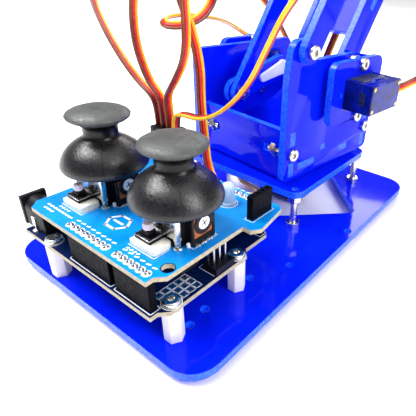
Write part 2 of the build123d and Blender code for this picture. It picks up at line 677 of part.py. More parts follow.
def gripper_ears():
    """The two upright ears that hang on the forearm; the right one also takes the level link."""
    plate_y = (WRIST[0] - 1.0, WRIST[0] + EAR_FRONT)
    foot = box_panel(*plate_y, GRIP_PLATE_Z - 4.0, WRIST[1] + 3.0, 2.0)
    left = make_hull((Pos(*WRIST) * Circle(5.0)).edges() + foot.edges())
    tall = (Pos(*WRIST) * Circle(5.0)).edges() + (Pos(*GRIPPER_TOP) * Circle(5.0)).edges()
    right = make_hull(tall + foot.edges())
    slot = box_panel(WRIST[0] + 3.0, WRIST[0] + 10.0, GRIP_PLATE_Z, GRIP_PLATE_Z + SHEET)
    cuts = holes([WRIST]) + slot
    return [sheet_x(left - cuts, ARM_LEFT_X),
            sheet_x(right - cuts - holes([GRIPPER_TOP]), ARM_RIGHT_X)]


def gripper_plate():
    inner = (ARM_LEFT_X[1], ARM_RIGHT_X[0])
    middle = GRIP_X - CLAW_GAP / 2 - SERVO_SHIFT
    face = box_panel(*inner, WRIST[0] - 1.0, GRIP_Y - 9.0)
    face += box_panel(ARM_LEFT_X[0], ARM_RIGHT_X[1], WRIST[0] + 3.0, WRIST[0] + 10.0)
    face += box_panel(middle - 18.0, GRIP_X + 20.0, GRIP_Y - 11.0, GRIP_Y + 11.0, 5.0)
    face -= Pos(middle, GRIP_Y) * Rectangle(SERVO_LENGTH + 0.3, SERVO_WIDTH + 0.3)
    face -= holes([(middle + s * 13.9, GRIP_Y) for s in (-1, 1)], 1.0)
    return sheet_z(face, (GRIP_PLATE_Z, GRIP_PLATE_Z + SHEET))


def gripper_screws():
    link_gap = FRONT_LINK_X[0] - ARM_RIGHT_X[1] - 0.2
    return [
        screw((FRONT_LINK_X[1] + 0.1, *GRIPPER_TOP), (-1, 0, 0), 12.0),
        nut((ARM_RIGHT_X[0], *GRIPPER_TOP), (-1, 0, 0)),
        washer((ARM_RIGHT_X[1], *GRIPPER_TOP), (1, 0, 0), link_gap),
    ]


def gear_outline(teeth, module, backlash):
    """An involute gear's outline, with a tooth centred on the x axis."""
    pressure = math.radians(25)
    pitch_r = teeth * module / 2
    base_r = pitch_r * math.cos(pressure)
    tip_r = pitch_r + 0.85 * module
    root_r = pitch_r - 1.2 * module
    half_tooth = math.pi / (2 * teeth) - backlash / (2 * pitch_r)
    involute = math.tan(pressure) - pressure
    points = []
    for tooth in range(teeth):
        middle = 2 * math.pi * tooth / teeth
        flank = []
        for step in range(5):
            r = max(base_r, root_r) + (tip_r - max(base_r, root_r)) * step / 4
            roll = math.acos(min(1.0, base_r / r))
            flank.append((r, half_tooth + involute - (math.tan(roll) - roll)))
        foot = (root_r, flank[0][1])
        side = [foot] + flank if root_r < base_r else flank
        for r, a in side:
            points.append((r * math.cos(middle - a), r * math.sin(middle - a)))
        for r, a in reversed(side):
            points.append((r * math.cos(middle + a), r * math.sin(middle + a)))
    return make_face(Polyline(*points, close=True))


def claw(side):
    """A claw: a gear round the pivot and a curved jaw. side is -1 on the driven claw's side."""
    module = CLAW_GAP / CLAW_TEETH
    turn = 0 if side < 0 else 180 + 180 / CLAW_TEETH
    face = Rot(0, 0, turn) * gear_outline(CLAW_TEETH, module, 0.16)
    reach = [(-1, 3), (6, -5), (13, 2), (17, 14), (14, 30), (5, 44), (1, 56), (-3.5, 56), (-3.5, 36),
             (2, 31), (7, 22), (6, 12)]
    jaw = panel([(side * o, f) for o, f in reach], {3: 6.0, 4: 6.0, 6: 1.5, 9: 2.0, 10: 3.0})
    return face + jaw


def claw_drive():
    x = GRIP_X - CLAW_GAP / 2
    face = claw(-1) - Circle(HUB_R)
    return Pos(x, GRIP_Y) * sheet_z(face, (CLAW_Z, CLAW_Z + SHEET))


def claw_follower():
    """The follower claw turns on a shoulder pin that stands on the gripper plate."""
    x = GRIP_X + CLAW_GAP / 2
    return Pos(x, GRIP_Y) * sheet_z(claw(1) - Circle(HOLE_R), (CLAW_Z, CLAW_Z + SHEET))


def claw_pivot():
    x = GRIP_X + CLAW_GAP / 2
    plate_top = GRIP_PLATE_Z + SHEET
    post = washer((x, GRIP_Y, plate_top), (0, 0, 1), CLAW_Z - plate_top - 0.1)
    return [post, screw((x, GRIP_Y, CLAW_Z + SHEET + 0.1), (0, 0, -1), CLAW_Z + SHEET - plate_top)]


# ---- cables -------------------------------------------------------------------------------------
def to_base(x, y, z):
    """A point in the turret's frame, given in the frame of the base."""
    turn = math.radians(YAW_REST)
    return (YAW_AXIS[0] + x * math.cos(turn) - y * math.sin(turn),
            YAW_AXIS[1] + x * math.sin(turn) + y * math.cos(turn), z)


CASE_END = SHOULDER[0] + SERVO_LENGTH / 2 - SERVO_SHIFT
WIRE_OUT_X = SIDE_OUT + 15.0


def arm_side(degrees, start, x, distance, side):
    y, z = along(start, degrees, distance, side)
    return (x, y, z)


def onward(before, here, length):
    """A point straight on from here, so that two stretches of one cable meet face to face."""
    step = Vector(*here) - Vector(*before)
    end = Vector(*here) + step.normalized() * length
    return (end.X, end.Y, end.Z)


def over_plug(number, height=0.0):
    return (PLUG_X[number], PLUG_Y, PLUG_Z[1] + height)


BASE_CABLE = [
    (-10.9, 16, 5.2), (-17, 16, 5.2), (-21.5, 9, 5.5), (-16, 0, 7), (-5, -5, 9), (5, -10, 11.5),
    (8, -18, 14), (1, -23.5, 14.5), (-9, -24, 16), (-14, -24, 24), (-15, -24, 37), (-16.5, -24, 51),
    (-16, -24, 66), (-20, -24, 79), (-25, -24.5, 90), (-23, -28, 101), (-14, -34, 104), (-7, -39, 96),
    (-4, -41, 84), (-3, -43, 73), (-8, -44.5, 64), (-13.8, -43, 58.5), over_plug(2, 6), over_plug(2),
]
LEFT_CABLE = [
    to_base(-WIRE_OUT_X, CASE_END, 56.3), to_base(-WIRE_OUT_X, CASE_END + 8, 56.3),
    (-52, 55, 62), (-57, 45, 69), (-52, 30, 74), (-46, 16, 77), (-45, 4, 79), (-48, -6, 79.5),
    (-47.5, -14.5, 78.5), (-40.5, -19, 77), (-34, -14, 77.5), (-31, -5, 81.5), (-30, 0, 90),
    (-29, -4, 101), (-27, -15, 108.5), (-27, -27, 108), (-28.5, -36, 101), (-30, -41, 91),
    (-30.5, -42, 75), (-25, -42, 62), (-18.5, -42, 57), over_plug(1, 6), over_plug(1),
]
RIGHT_CABLE = [
    to_base(WIRE_OUT_X, CASE_END, 56.3), to_base(WIRE_OUT_X, CASE_END + 7, 56.3), (46, 51, 60),
    (57, 55, 68), (67, 50, 80), (71, 38, 93), (67, 22, 105), (58, 4, 112), (48, -14, 112),
    (39, -29, 104), (33, -38, 92), (28.5, -41, 80), (24, -41, 71.5), (18.5, -41, 64.5), (12.5, -41, 59.2),
    (6.5, -41, 56), (0.5, -41.5, 54.8), (-6, -42, 55), over_plug(3, 6), over_plug(3),
]
FOREARM_CABLE = [
    (GRIP_X - CLAW_GAP / 2 + 5.9, GRIP_Y, GRIP_PLATE_Z - 13.0),
    (GRIP_X - CLAW_GAP / 2 + 12.5, GRIP_Y, GRIP_PLATE_Z - 13.0),
    (11.5, GRIP_Y - 7, GRIP_PLATE_Z - 12.5), (9.0, GRIP_Y - 18, GRIP_PLATE_Z - 10.5),
    (3.5, GRIP_Y - 30, GRIP_PLATE_Z - 6.0),
    arm_side(RISE, ELBOW, 2.0, 66, -7.5), arm_side(RISE, ELBOW, 3.0, 50, -5.5),
    arm_side(RISE, ELBOW, 3.2, 33, -6.5), arm_side(RISE, ELBOW, 3.0, 18, -9.5),
    arm_side(LEAN, SHOULDER, 3.0, ARM - 5, -12.5),
]
ARM_CABLE = [
    FOREARM_CABLE[-1], onward(FOREARM_CABLE[-2], FOREARM_CABLE[-1], 7.0),
    arm_side(LEAN, SHOULDER, 3.0, 56, -6.0), arm_side(LEAN, SHOULDER, 3.0, 40, -5.0),
    arm_side(LEAN, SHOULDER, 1.0, 25, -8.0), arm_side(LEAN, SHOULDER, -3.0, 16, -14.0),
]
GRIPPER_LEAD = [
    to_base(*ARM_CABLE[-1]), to_base(*onward(ARM_CABLE[-2], ARM_CABLE[-1], 8.0)),
    to_base(-13, 42, 49), to_base(-24, 44, 52), to_base(-34, 44, 62), to_base(-43, 42, 75),
    to_base(-52, 37, 87), (-63, 41, 97), (-72, 27, 104), (-77, 11, 107), (-77, -5, 106), (-74, -19, 101),
    (-68, -31, 94), (-60, -38, 86), (-49, -41, 76), (-39, -42, 67), (-30, -42, 60), (-22.5, -42, 56.5),
    over_plug(0, 6), over_plug(0),
]


def cable(points, name):
    """A round tube on straight runs joined by arcs as large as the runs allow."""
    spots = [Vector(*p) for p in points]
    radii = []
    for before, here, after in zip(spots, spots[1:], spots[2:]):
        turn = math.radians((here - before).get_angle(after - here))
        shorter = min((here - before).length, (after - here).length)
        radii.append(0.45 * shorter / math.tan(turn / 2))
    path = FilletPolyline(*spots, radius=radii)
    start = Plane(origin=spots[0], z_dir=spots[1] - spots[0])
    tube = sweep(start * Circle(WIRE_R), path=path)
    ratio = tube.volume / (math.pi * WIRE_R ** 2 * path.length)
    print(f"{name}: length {path.length:.1f}, smallest radius {min(radii):.1f}, volume ratio {ratio:.4f}")
    return tube


# ---- assembly -----------------------------------------------------------------------------------
def on_turret(shape):
    place = Pos(YAW_AXIS[0], YAW_AXIS[1], 0) * Rot(0, 0, YAW_REST)
    if isinstance(shape, list):
        return [place * piece for piece in shape]
    return place * shape


BASE_NODES = {
    "base_plate": base_plate(),
    "raised_plate": raised_plate(),
    "base_fasteners": pillar_fasteners() + board_screws(),
    "board_standoffs": board_standoffs(),
    "controller_board": controller_board(),
    "board_sockets": [power_jack(), usb_socket()],
    "board_headers": board_headers(),
    "board_chips": board_chips(),
    "shield_board": shield_board(),
    "shield_pins": shield_pins() + [servo_pin_header()],
    "servo_plugs": servo_plugs(),
    "module_socket": module_socket(),
    "status_led": status_led(),
    "base_servo": servo(BASE_SERVO),
    "joystick_frames": [joystick_housing(axis) for axis in STICK_AXES.values()],
    "joystick_sensors": [piece for axis in STICK_AXES.values() for piece in joystick_sensors(axis)],
    "cable_base_servo": cable(BASE_CABLE, "cable_base_servo"),
    "cable_left_servo": cable(LEFT_CABLE, "cable_left_servo"),
    "cable_right_servo": cable(RIGHT_CABLE, "cable_right_servo"),
    "cable_gripper_lead": cable(GRIPPER_LEAD, "cable_gripper_lead"),
}
for name, axis in STICK_AXES.items():
    BASE_NODES[f"joystick_yoke_{name}"] = joystick_yoke(axis)
    BASE_NODES[f"joystick_stick_{name}"] = joystick_stick(axis)
    BASE_NODES[f"joystick_cap_{name}"] = joystick_cap(axis)

TURRET_NODES = {
    "turret_floor": turret_floor(),
    "turret_side_right": turret_side_right(),
    "turret_side_left": turret_side_left(),
    "turret_front": turret_front(),
    "turret_middle": turret_middle(),
    "turret_back": turret_back(),
    "turret_screws": turret_screws(),
    "turret_horn": shaft_and_horn(Plane(origin=(0, 0, RAISED_Z), z_dir=(0, 0, 1)), [(90, 14), (-90, 14)]),
    "servo_collars": servo_collars(),
    "right_servo": servo(RIGHT_SERVO),
    "left_servo": servo(LEFT_SERVO),
    "upper_arm_bars": upper_arm_bars(),
    "upper_arm_brace": upper_arm_brace(),
    "shoulder_horn": shaft_and_horn(RIGHT_SERVO, [(180 - LEAN, 14.4)]),
    "elbow_lever": elbow_lever(),
    "elbow_lever_horn": shaft_and_horn(LEFT_SERVO, [(RISE, 14.4)]),
    "lever_pin": lever_pin(),
    "pushrod": sheet_x(link(LEVER_END, FOREARM_TAIL), PUSHROD_X),
    "forearm_bars": forearm_bars(),
    "forearm_brace": forearm_brace(),
    "forearm_screws": forearm_screws(),
    "elbow_triangle": elbow_triangle(),
    "triangle_screws": triangle_screws(),
    "level_link_rear": sheet_x(link(LEVEL_PIVOT, TRIANGLE_REAR), REAR_LINK_X),
    "level_link_front": sheet_x(link(TRIANGLE_FRONT, GRIPPER_TOP), FRONT_LINK_X),
    "gripper_ears": gripper_ears(),
    "gripper_plate": gripper_plate(),
    "gripper_servo": servo(GRIP_SERVO),
    "gripper_screws": gripper_screws() + claw_pivot(),
    "claw_drive": claw_drive(),
    "claw_horn": shaft_and_horn(GRIP_SERVO, [(90, 14)]),
    "claw_follower": claw_follower(),
    "cable_forearm": cable(FOREARM_CABLE, "cable_forearm"),
    "cable_upper_arm": cable(ARM_CABLE, "cable_upper_arm"),
}

os.makedirs("parts", exist_ok=True)
for name, shape in list(BASE_NODES.items()) + [(n, on_turret(s)) for n, s in TURRET_NODES.items()]:
    if isinstance(shape, list):
        shape = Compound(children=[piece for item in shape for piece in item.solids()])
    export_step(shape, f"parts/{name}.step")
print(len(BASE_NODES) + len(TURRET_NODES), "nodes")
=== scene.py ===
import json
import math

import bmesh
import bpy
from mathutils import Matrix, Vector


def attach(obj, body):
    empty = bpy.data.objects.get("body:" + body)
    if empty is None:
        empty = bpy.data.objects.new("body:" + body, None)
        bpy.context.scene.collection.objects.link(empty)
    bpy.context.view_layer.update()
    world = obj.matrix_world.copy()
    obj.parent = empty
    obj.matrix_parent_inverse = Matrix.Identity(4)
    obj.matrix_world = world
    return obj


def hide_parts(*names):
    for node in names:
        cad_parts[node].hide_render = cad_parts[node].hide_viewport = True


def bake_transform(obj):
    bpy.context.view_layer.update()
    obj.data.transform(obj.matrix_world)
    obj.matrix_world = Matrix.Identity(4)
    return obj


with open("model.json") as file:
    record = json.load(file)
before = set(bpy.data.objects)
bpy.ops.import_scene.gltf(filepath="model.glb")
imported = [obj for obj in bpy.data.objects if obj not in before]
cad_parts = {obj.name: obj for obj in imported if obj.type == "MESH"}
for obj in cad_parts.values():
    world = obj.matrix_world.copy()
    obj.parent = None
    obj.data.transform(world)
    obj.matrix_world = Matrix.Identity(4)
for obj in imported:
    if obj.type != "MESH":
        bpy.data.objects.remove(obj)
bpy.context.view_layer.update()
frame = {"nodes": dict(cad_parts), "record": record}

# Desktop robot arm. Every length below is in millimetres in the frame of the part: Z up, z = 0 under the
# base plate, Y from the joysticks to the arm. MM turns it into metres when a piece is made.
MM = 0.001
RECORD = frame["record"]
BODY_OF = {node: body for body, nodes in RECORD["behaviour"]["bodies"].items() for node in nodes}
SLOT_OF = {part["node"]: part["material_slot"] for part in RECORD["subparts"]}

# ---- places shared with the frame -----------------------------------------------------------------
BOARD_ORIGIN = (-35.0, -92.0)
BOARD_TOP = 16.6
SHIELD_TOP = 29.2
FLOOR_LEVEL = -2.4
STICK_AXES = {"right": (20.0, -70.2), "left": (-14.6, -70.2)}
STICK_PIVOT_Z = 39.0
YAW_AXIS = (-5.0, 16.0)
YAW_REST = -6.0
SHOULDER = (17.7, 56.3)
ARM = 80.0
LEAN = 57.6
RISE = 13.8
SIDE_OUT = 28.0
RAISED_Z = 18.0
GRIP_X = 4.8
CLAW_GAP = 19.0
SERVO_CENTRE = 5.5
SERVO_LENGTH = 22.8
SERVO_WIDTH = 12.2
CASE_END = SHOULDER[0] + SERVO_LENGTH / 2 - SERVO_CENTRE
WIRE_OUT_X = SIDE_OUT + 15.0
PLUG_X = [-20.5, -17.5, -14.5, -11.5]
PLUG_Y = -42.0
PLUG_TOP = 45.7
PIN_PITCH = 2.54
TURRET = Matrix.Translation((*YAW_AXIS, 0)) @ Matrix.Rotation(math.radians(YAW_REST), 4, "Z")


def offset(point, length, degrees):
    """A point at a distance and an angle from another, in the y-z plane of the turret."""
    angle = math.radians(degrees)
    return (point[0] + length * math.cos(angle), point[1] + length * math.sin(angle))


ELBOW = offset(SHOULDER, ARM, LEAN)
WRIST = offset(ELBOW, ARM, RISE)
GRIP_PLATE_Z = WRIST[1] - 9.0
GRIP_Y = WRIST[0] + 30.0


def on_board(x, y):
    return (BOARD_ORIGIN[0] + x, BOARD_ORIGIN[1] + y)


def on_turret(x, y, z):
    """A point in the turret's frame, given in the frame of the base."""
    return tuple(TURRET @ Vector((x, y, z)))


# ---- materials ------------------------------------------------------------------------------------
def srgb(r, g, b):
    """A linear colour from screen values of 0 to 255."""
    def linear(value):
        value /= 255
        return value / 12.92 if value <= 0.04045 else ((value + 0.055) / 1.055) ** 2.4
    return (linear(r), linear(g), linear(b), 1.0)


def noise(tree, scale, detail=3.0):
    """A noise value in object space; scale is features per metre."""
    where = tree.nodes.new("ShaderNodeTexCoord").outputs["Object"]
    node = tree.nodes.new("ShaderNodeTexNoise")
    node.inputs["Scale"].default_value = scale
    node.inputs["Detail"].default_value = detail
    tree.links.new(where, node.inputs["Vector"])
    return node.outputs["Fac"]


def surface(name, colour, roughness, second=None, mottle=250.0, grain=0.05, grain_scale=2500.0,
            metallic=0.0, coat=0.0, transmission=0.0, ior=1.5, painted_glow=0.0):
    """A Principled material whose colour and gloss drift softly and whose surface has a fine grain;
    painted_glow makes it emit its own colour as a painted glow.
    """
    material = bpy.data.materials.new(name)
    material.use_nodes = True
    tree = material.node_tree
    bsdf = tree.nodes["Principled BSDF"]
    cloud = noise(tree, mottle)
    ramp = tree.nodes.new("ShaderNodeValToRGB")
    ramp.color_ramp.elements[0].position = 0.35
    ramp.color_ramp.elements[1].position = 0.65
    ramp.color_ramp.elements[0].color = colour
    ramp.color_ramp.elements[1].color = second or tuple(min(1.0, c * 1.12) for c in colour[:3]) + (1.0,)
    tree.links.new(cloud, ramp.inputs["Fac"])
    tree.links.new(ramp.outputs["Color"], bsdf.inputs["Base Color"])
    gloss = tree.nodes.new("ShaderNodeMapRange")
    gloss.inputs["From Min"].default_value = 0.3
    gloss.inputs["From Max"].default_value = 0.7
    gloss.inputs["To Min"].default_value = roughness * 0.8
    gloss.inputs["To Max"].default_value = roughness * 1.25
    tree.links.new(noise(tree, mottle * 3), gloss.inputs["Value"])
    tree.links.new(gloss.outputs["Result"], bsdf.inputs["Roughness"])
    bump = tree.nodes.new("ShaderNodeBump")
    bump.inputs["Strength"].default_value = grain
    bump.inputs["Distance"].default_value = 0.0001
    tree.links.new(noise(tree, grain_scale, 5.0), bump.inputs["Height"])
    tree.links.new(bump.outputs["Normal"], bsdf.inputs["Normal"])
    bsdf.inputs["Metallic"].default_value = metallic
    bsdf.inputs["Coat Weight"].default_value = coat
    bsdf.inputs["Coat Roughness"].default_value = 0.05
    bsdf.inputs["Transmission Weight"].default_value = transmission
    bsdf.inputs["IOR"].default_value = ior
    # Emission paints light into the colour: a painted glow on parts that are no lamp.
    if painted_glow:
        tree.links.new(ramp.outputs["Color"], bsdf.inputs["Emission Color"])
        bsdf.inputs["Emission Strength"].default_value = painted_glow
    return material


# The blue faces carry a painted glow: they emit a little of their own colour though they are no lamp.
ACRYLIC = surface("acrylic_face", srgb(2, 22, 218), 0.07, srgb(4, 28, 230), mottle=60, grain=0.015, ior=1.22,
                  painted_glow=0.1)
# The cut edges are lighter than the faces and glow more: partly their own finish, partly a painted highlight
# along every edge, bevel and hole wall.
ACRYLIC_EDGE = surface("acrylic_edge", srgb(10, 62, 236), 0.2, srgb(30, 96, 250), mottle=900, grain=0.12,
                       grain_scale=5000, ior=1.35, painted_glow=0.25)
STEEL = surface("zinc_steel", srgb(196, 194, 188), 0.24, srgb(222, 220, 214), metallic=1.0, grain=0.1)
NYLON = surface("white_nylon", srgb(232, 226, 232), 0.45, srgb(242, 238, 242), grain=0.06)
WHITE = surface("horn_white", srgb(238, 240, 246), 0.3, srgb(246, 248, 252), grain=0.04)
MASK_DARK = surface("mask_dark", srgb(2, 18, 60), 0.3, srgb(4, 26, 78), mottle=120, grain=0.06, ior=1.3)
MASK_LIGHT = surface("mask_light", srgb(0, 122, 206), 0.3, srgb(4, 140, 226), mottle=120, grain=0.06, ior=1.3,
                     coat=0.1)
LAMINATE = surface("board_edge", srgb(158, 148, 124), 0.6, srgb(184, 174, 150), mottle=900, grain=0.3)
SILK = surface("silkscreen", srgb(240, 242, 240), 0.55, srgb(250, 250, 248), grain=0.1)
SOLDER = surface("solder", srgb(210, 208, 204), 0.2, srgb(236, 234, 230), metallic=1.0, grain=0.2)
TIN = surface("tin", srgb(214, 214, 214), 0.22, srgb(236, 236, 236), metallic=1.0, grain=0.08)
GOLD = surface("gold", srgb(214, 180, 110), 0.25, srgb(236, 206, 140), metallic=1.0, grain=0.08)
BLACK = surface("black_plastic", srgb(6, 6, 10), 0.42, srgb(11, 11, 17), grain=0.1, grain_scale=4000, ior=1.3)
STRIP = surface("header_plastic", srgb(5, 5, 12), 0.5, srgb(9, 9, 18), grain=0.12, grain_scale=4000, ior=1.12)
CHIP = surface("chip_epoxy", srgb(26, 26, 28), 0.5, srgb(36, 36, 38), grain=0.25, grain_scale=6000)
RUBBER = surface("grained_rubber", srgb(8, 8, 12), 0.32, srgb(13, 13, 18), mottle=400, grain=0.9,
                 grain_scale=1300, ior=1.55)
THUMB = surface("thumb_rubber", srgb(50, 53, 52), 0.5, srgb(66, 69, 68), mottle=300, grain=1.0,
                grain_scale=1500, ior=1.6)
RUBBER_SMOOTH = surface("smooth_rubber", srgb(4, 4, 7), 0.3, srgb(8, 8, 12), grain=0.08, ior=1.35)
BROWN = surface("phenolic", srgb(150, 74, 34), 0.5, srgb(176, 96, 50), mottle=700, grain=0.2)
LILAC = surface("switch_cap", srgb(214, 200, 214), 0.4, srgb(226, 214, 226), grain=0.1)
CREAM = surface("foam_pad", srgb(232, 230, 214), 0.7, srgb(244, 242, 230), mottle=800, grain=0.5)
# Painted shade: near-black colour for the cross slot in each potentiometer's white rotor.
SLOT_SHADE = surface("painted_slot_shade", srgb(6, 6, 8), 0.8, srgb(10, 10, 12), grain=0.1)
# The servo case carries a faint painted glow: it emits its own colour though it is no lamp.
SERVO_CASE = surface("servo_case", srgb(2, 10, 84), 0.12, srgb(4, 26, 150), mottle=180, grain=0.03, ior=1.33,
                     coat=0.08, painted_glow=0.05)
# Painted shade: near-black blue put in the servo's ear holes, ear slots, screw recesses, clip slots and wire
# exit.
SERVO_HOLE_SHADE = surface("servo_hole_shade", srgb(10, 16, 40), 0.3, srgb(22, 32, 60), mottle=400, grain=0.05)
STICKER = surface("servo_label", srgb(44, 48, 22), 0.3, srgb(74, 72, 26), mottle=500, grain=0.04)
LED_CLEAR = surface("led_epoxy", srgb(206, 232, 255), 0.08, srgb(226, 244, 255), grain=0.01,
                    transmission=0.45)
LED_CUP = surface("led_cup", srgb(232, 232, 226), 0.35, srgb(246, 246, 240), metallic=0.6)
WIRE_BROWN = surface("wire_brown", srgb(104, 44, 22), 0.3, srgb(128, 62, 34), mottle=200, grain=0.06)
WIRE_RED = surface("wire_red", srgb(216, 18, 22), 0.3, srgb(238, 34, 34), mottle=200, grain=0.06)
WIRE_YELLOW = surface("wire_yellow", srgb(255, 176, 8), 0.3, srgb(255, 198, 30), mottle=200, grain=0.06)
PAPER = surface("studio_floor", srgb(250, 250, 251), 0.7, srgb(253, 253, 253), mottle=8, grain=0.0)


# ---- mesh helpers ---------------------------------------------------------------------------------
SMOOTH_BELOW = math.radians(21)


def piece(part, name, body, slot, materials, scale=MM, smooth=SMOOTH_BELOW):
    """Turns a bmesh into a piece of the object that rides on a body."""
    mesh = bpy.data.meshes.new(name)
    bmesh.ops.scale(part, vec=(scale, scale, scale), verts=part.verts)
    part.to_mesh(mesh)
    part.free()
    for material in materials:
        mesh.materials.append(material)
    mesh.shade_smooth()
    mesh.set_sharp_from_angle(angle=smooth)
    obj = bpy.data.objects.new(name, mesh)
    bpy.context.scene.collection.objects.link(obj)
    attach(obj, body)
    return obj


def merge(target, part, index=0, matrix=None):
    """Adds one bmesh to another, as faces of one material."""
    for face in part.faces:
        face.material_index = index
    if matrix is not None:
        bmesh.ops.transform(part, matrix=matrix, verts=part.verts)
    scratch = bpy.data.meshes.new("scratch")
    part.to_mesh(scratch)
    target.from_mesh(scratch)
    bpy.data.meshes.remove(scratch)
    part.free()


def box(low, high, bevel=0.0, segments=2):
    part = bmesh.new()
    bmesh.ops.create_cube(part, size=1)
    middle = [(a + b) / 2 for a, b in zip(low, high)]
    size = [b - a for a, b in zip(low, high)]
    fit = Matrix.Translation(middle) @ Matrix.Diagonal((*size, 1))
    bmesh.ops.transform(part, matrix=fit, verts=part.verts)
    if bevel:
        bmesh.ops.bevel(part, geom=part.edges[:], offset=bevel, segments=segments, profile=0.5,
                        affect="EDGES")
    return part


def lathe(profile, steps=64):
    """A surface of revolution about Z from (radius, height) points."""
    part = bmesh.new()
    rings = []
    for radius, height in profile:
        count = steps if radius > 1e-6 else 1
        turns = [2 * math.pi * k / steps for k in range(count)]
        rings.append([part.verts.new((radius * math.cos(a), radius * math.sin(a), height)) for a in turns])
    for lower, upper in zip(rings, rings[1:]):
        for k in range(steps):
            n = (k + 1) % steps
            corners = [lower[k % len(lower)], lower[n % len(lower)], upper[n % len(upper)],
                       upper[k % len(upper)]]
            corners = list(dict.fromkeys(corners))
            if len(corners) > 2:
                part.faces.new(corners)
    bmesh.ops.recalc_face_normals(part, faces=part.faces)
    return part


def drum(radius, low, high, rim=0.0, steps=48):
    """A short round part with softened rims."""
    if not rim:
        return lathe([(0, low), (radius, low), (radius, high), (0, high)], steps)
    return lathe([(0, low), (radius - rim, low), (radius - 0.3 * rim, low + 0.3 * rim), (radius, low + rim),
                  (radius, high - rim), (radius - 0.3 * rim, high - 0.3 * rim), (radius - rim, high),
                  (0, high)], steps)


def at(x, y, z=0.0):
    return Matrix.Translation((x, y, z))


def plane(origin, x_dir, z_dir):
    """A frame from its origin, x direction and z direction."""
    z_axis = Vector(z_dir).normalized()
    x_axis = Vector(x_dir).normalized()
    place = Matrix((x_axis, z_axis.cross(x_axis), z_axis)).transposed().to_4x4()
    place.translation = origin
    return place


# ---- CAD nodes with softened edges ----------------------------------------------------------------
SAME_SPOT = 2e-6
SAME_FLAT = math.radians(0.6)
CORNER_ABOVE = math.radians(40)
FLAT_FACE = 0.9
SHEET_EDGE_BREAK = 0.16


def softened(node, bevel):
    """A copy of a CAD node's mesh with its flats merged and its outer edges rounded."""
    part = bmesh.new()
    part.from_mesh(frame["nodes"][node].data)
    for face in part.faces:
        face.material_index = 0
    bmesh.ops.remove_doubles(part, verts=part.verts, dist=SAME_SPOT)
    bmesh.ops.dissolve_limit(part, angle_limit=SAME_FLAT, verts=part.verts, edges=part.edges)
    if bevel:
        sharp = [e for e in part.edges
                 if e.is_manifold and e.is_convex and e.calc_face_angle() > CORNER_ABOVE]
        bmesh.ops.bevel(part, geom=sharp, offset=bevel * MM, segments=2, profile=0.5, affect="EDGES",
                        clamp_overlap=False)
    return part


def finished(node, materials, bevel=0.15, rule=None):
    """A CAD node with softened edges, painted by a rule from a face to a material number."""
    part = softened(node, bevel)
    if rule:
        for face in part.faces:
            face.material_index = rule(face)
    obj = piece(part, f"{node}_finish", BODY_OF[node], SLOT_OF[node], materials, scale=1.0)
    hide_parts(node)
    return obj


def sheet_rule(node):
    """Paints the flats of a cut sheet with its face material and every cut edge with the other, whose lighter
    glowing colour is partly the edges' own finish and partly a painted highlight.
    """
    part = bmesh.new()
    part.from_mesh(frame["nodes"][node].data)
    axis = max(part.faces, key=lambda face: face.calc_area()).normal.copy()
    part.free()
    return lambda face: 0 if abs(face.normal.dot(axis)) > FLAT_FACE else 1


def acrylic_sheets():
    for node, slot in SLOT_OF.items():
        if slot == "blue_acrylic":
            finished(node, [ACRYLIC, ACRYLIC_EDGE], SHEET_EDGE_BREAK, sheet_rule(node))


def plain_nodes():
    for node in ("base_fasteners", "turret_screws", "lever_pin", "forearm_screws", "triangle_screws",
                 "gripper_screws"):
        finished(node, [STEEL], 0.12)
    finished("board_standoffs", [NYLON], 0.15)
    for node in ("turret_horn", "shoulder_horn", "elbow_lever_horn", "claw_horn"):
        finished(node, [WHITE], 0.3)


# ---- servos ---------------------------------------------------------------------------------------
SERVO_BACK = -18.4
SERVO_SEAM = -13.6
SERVO_EAR = 4.7


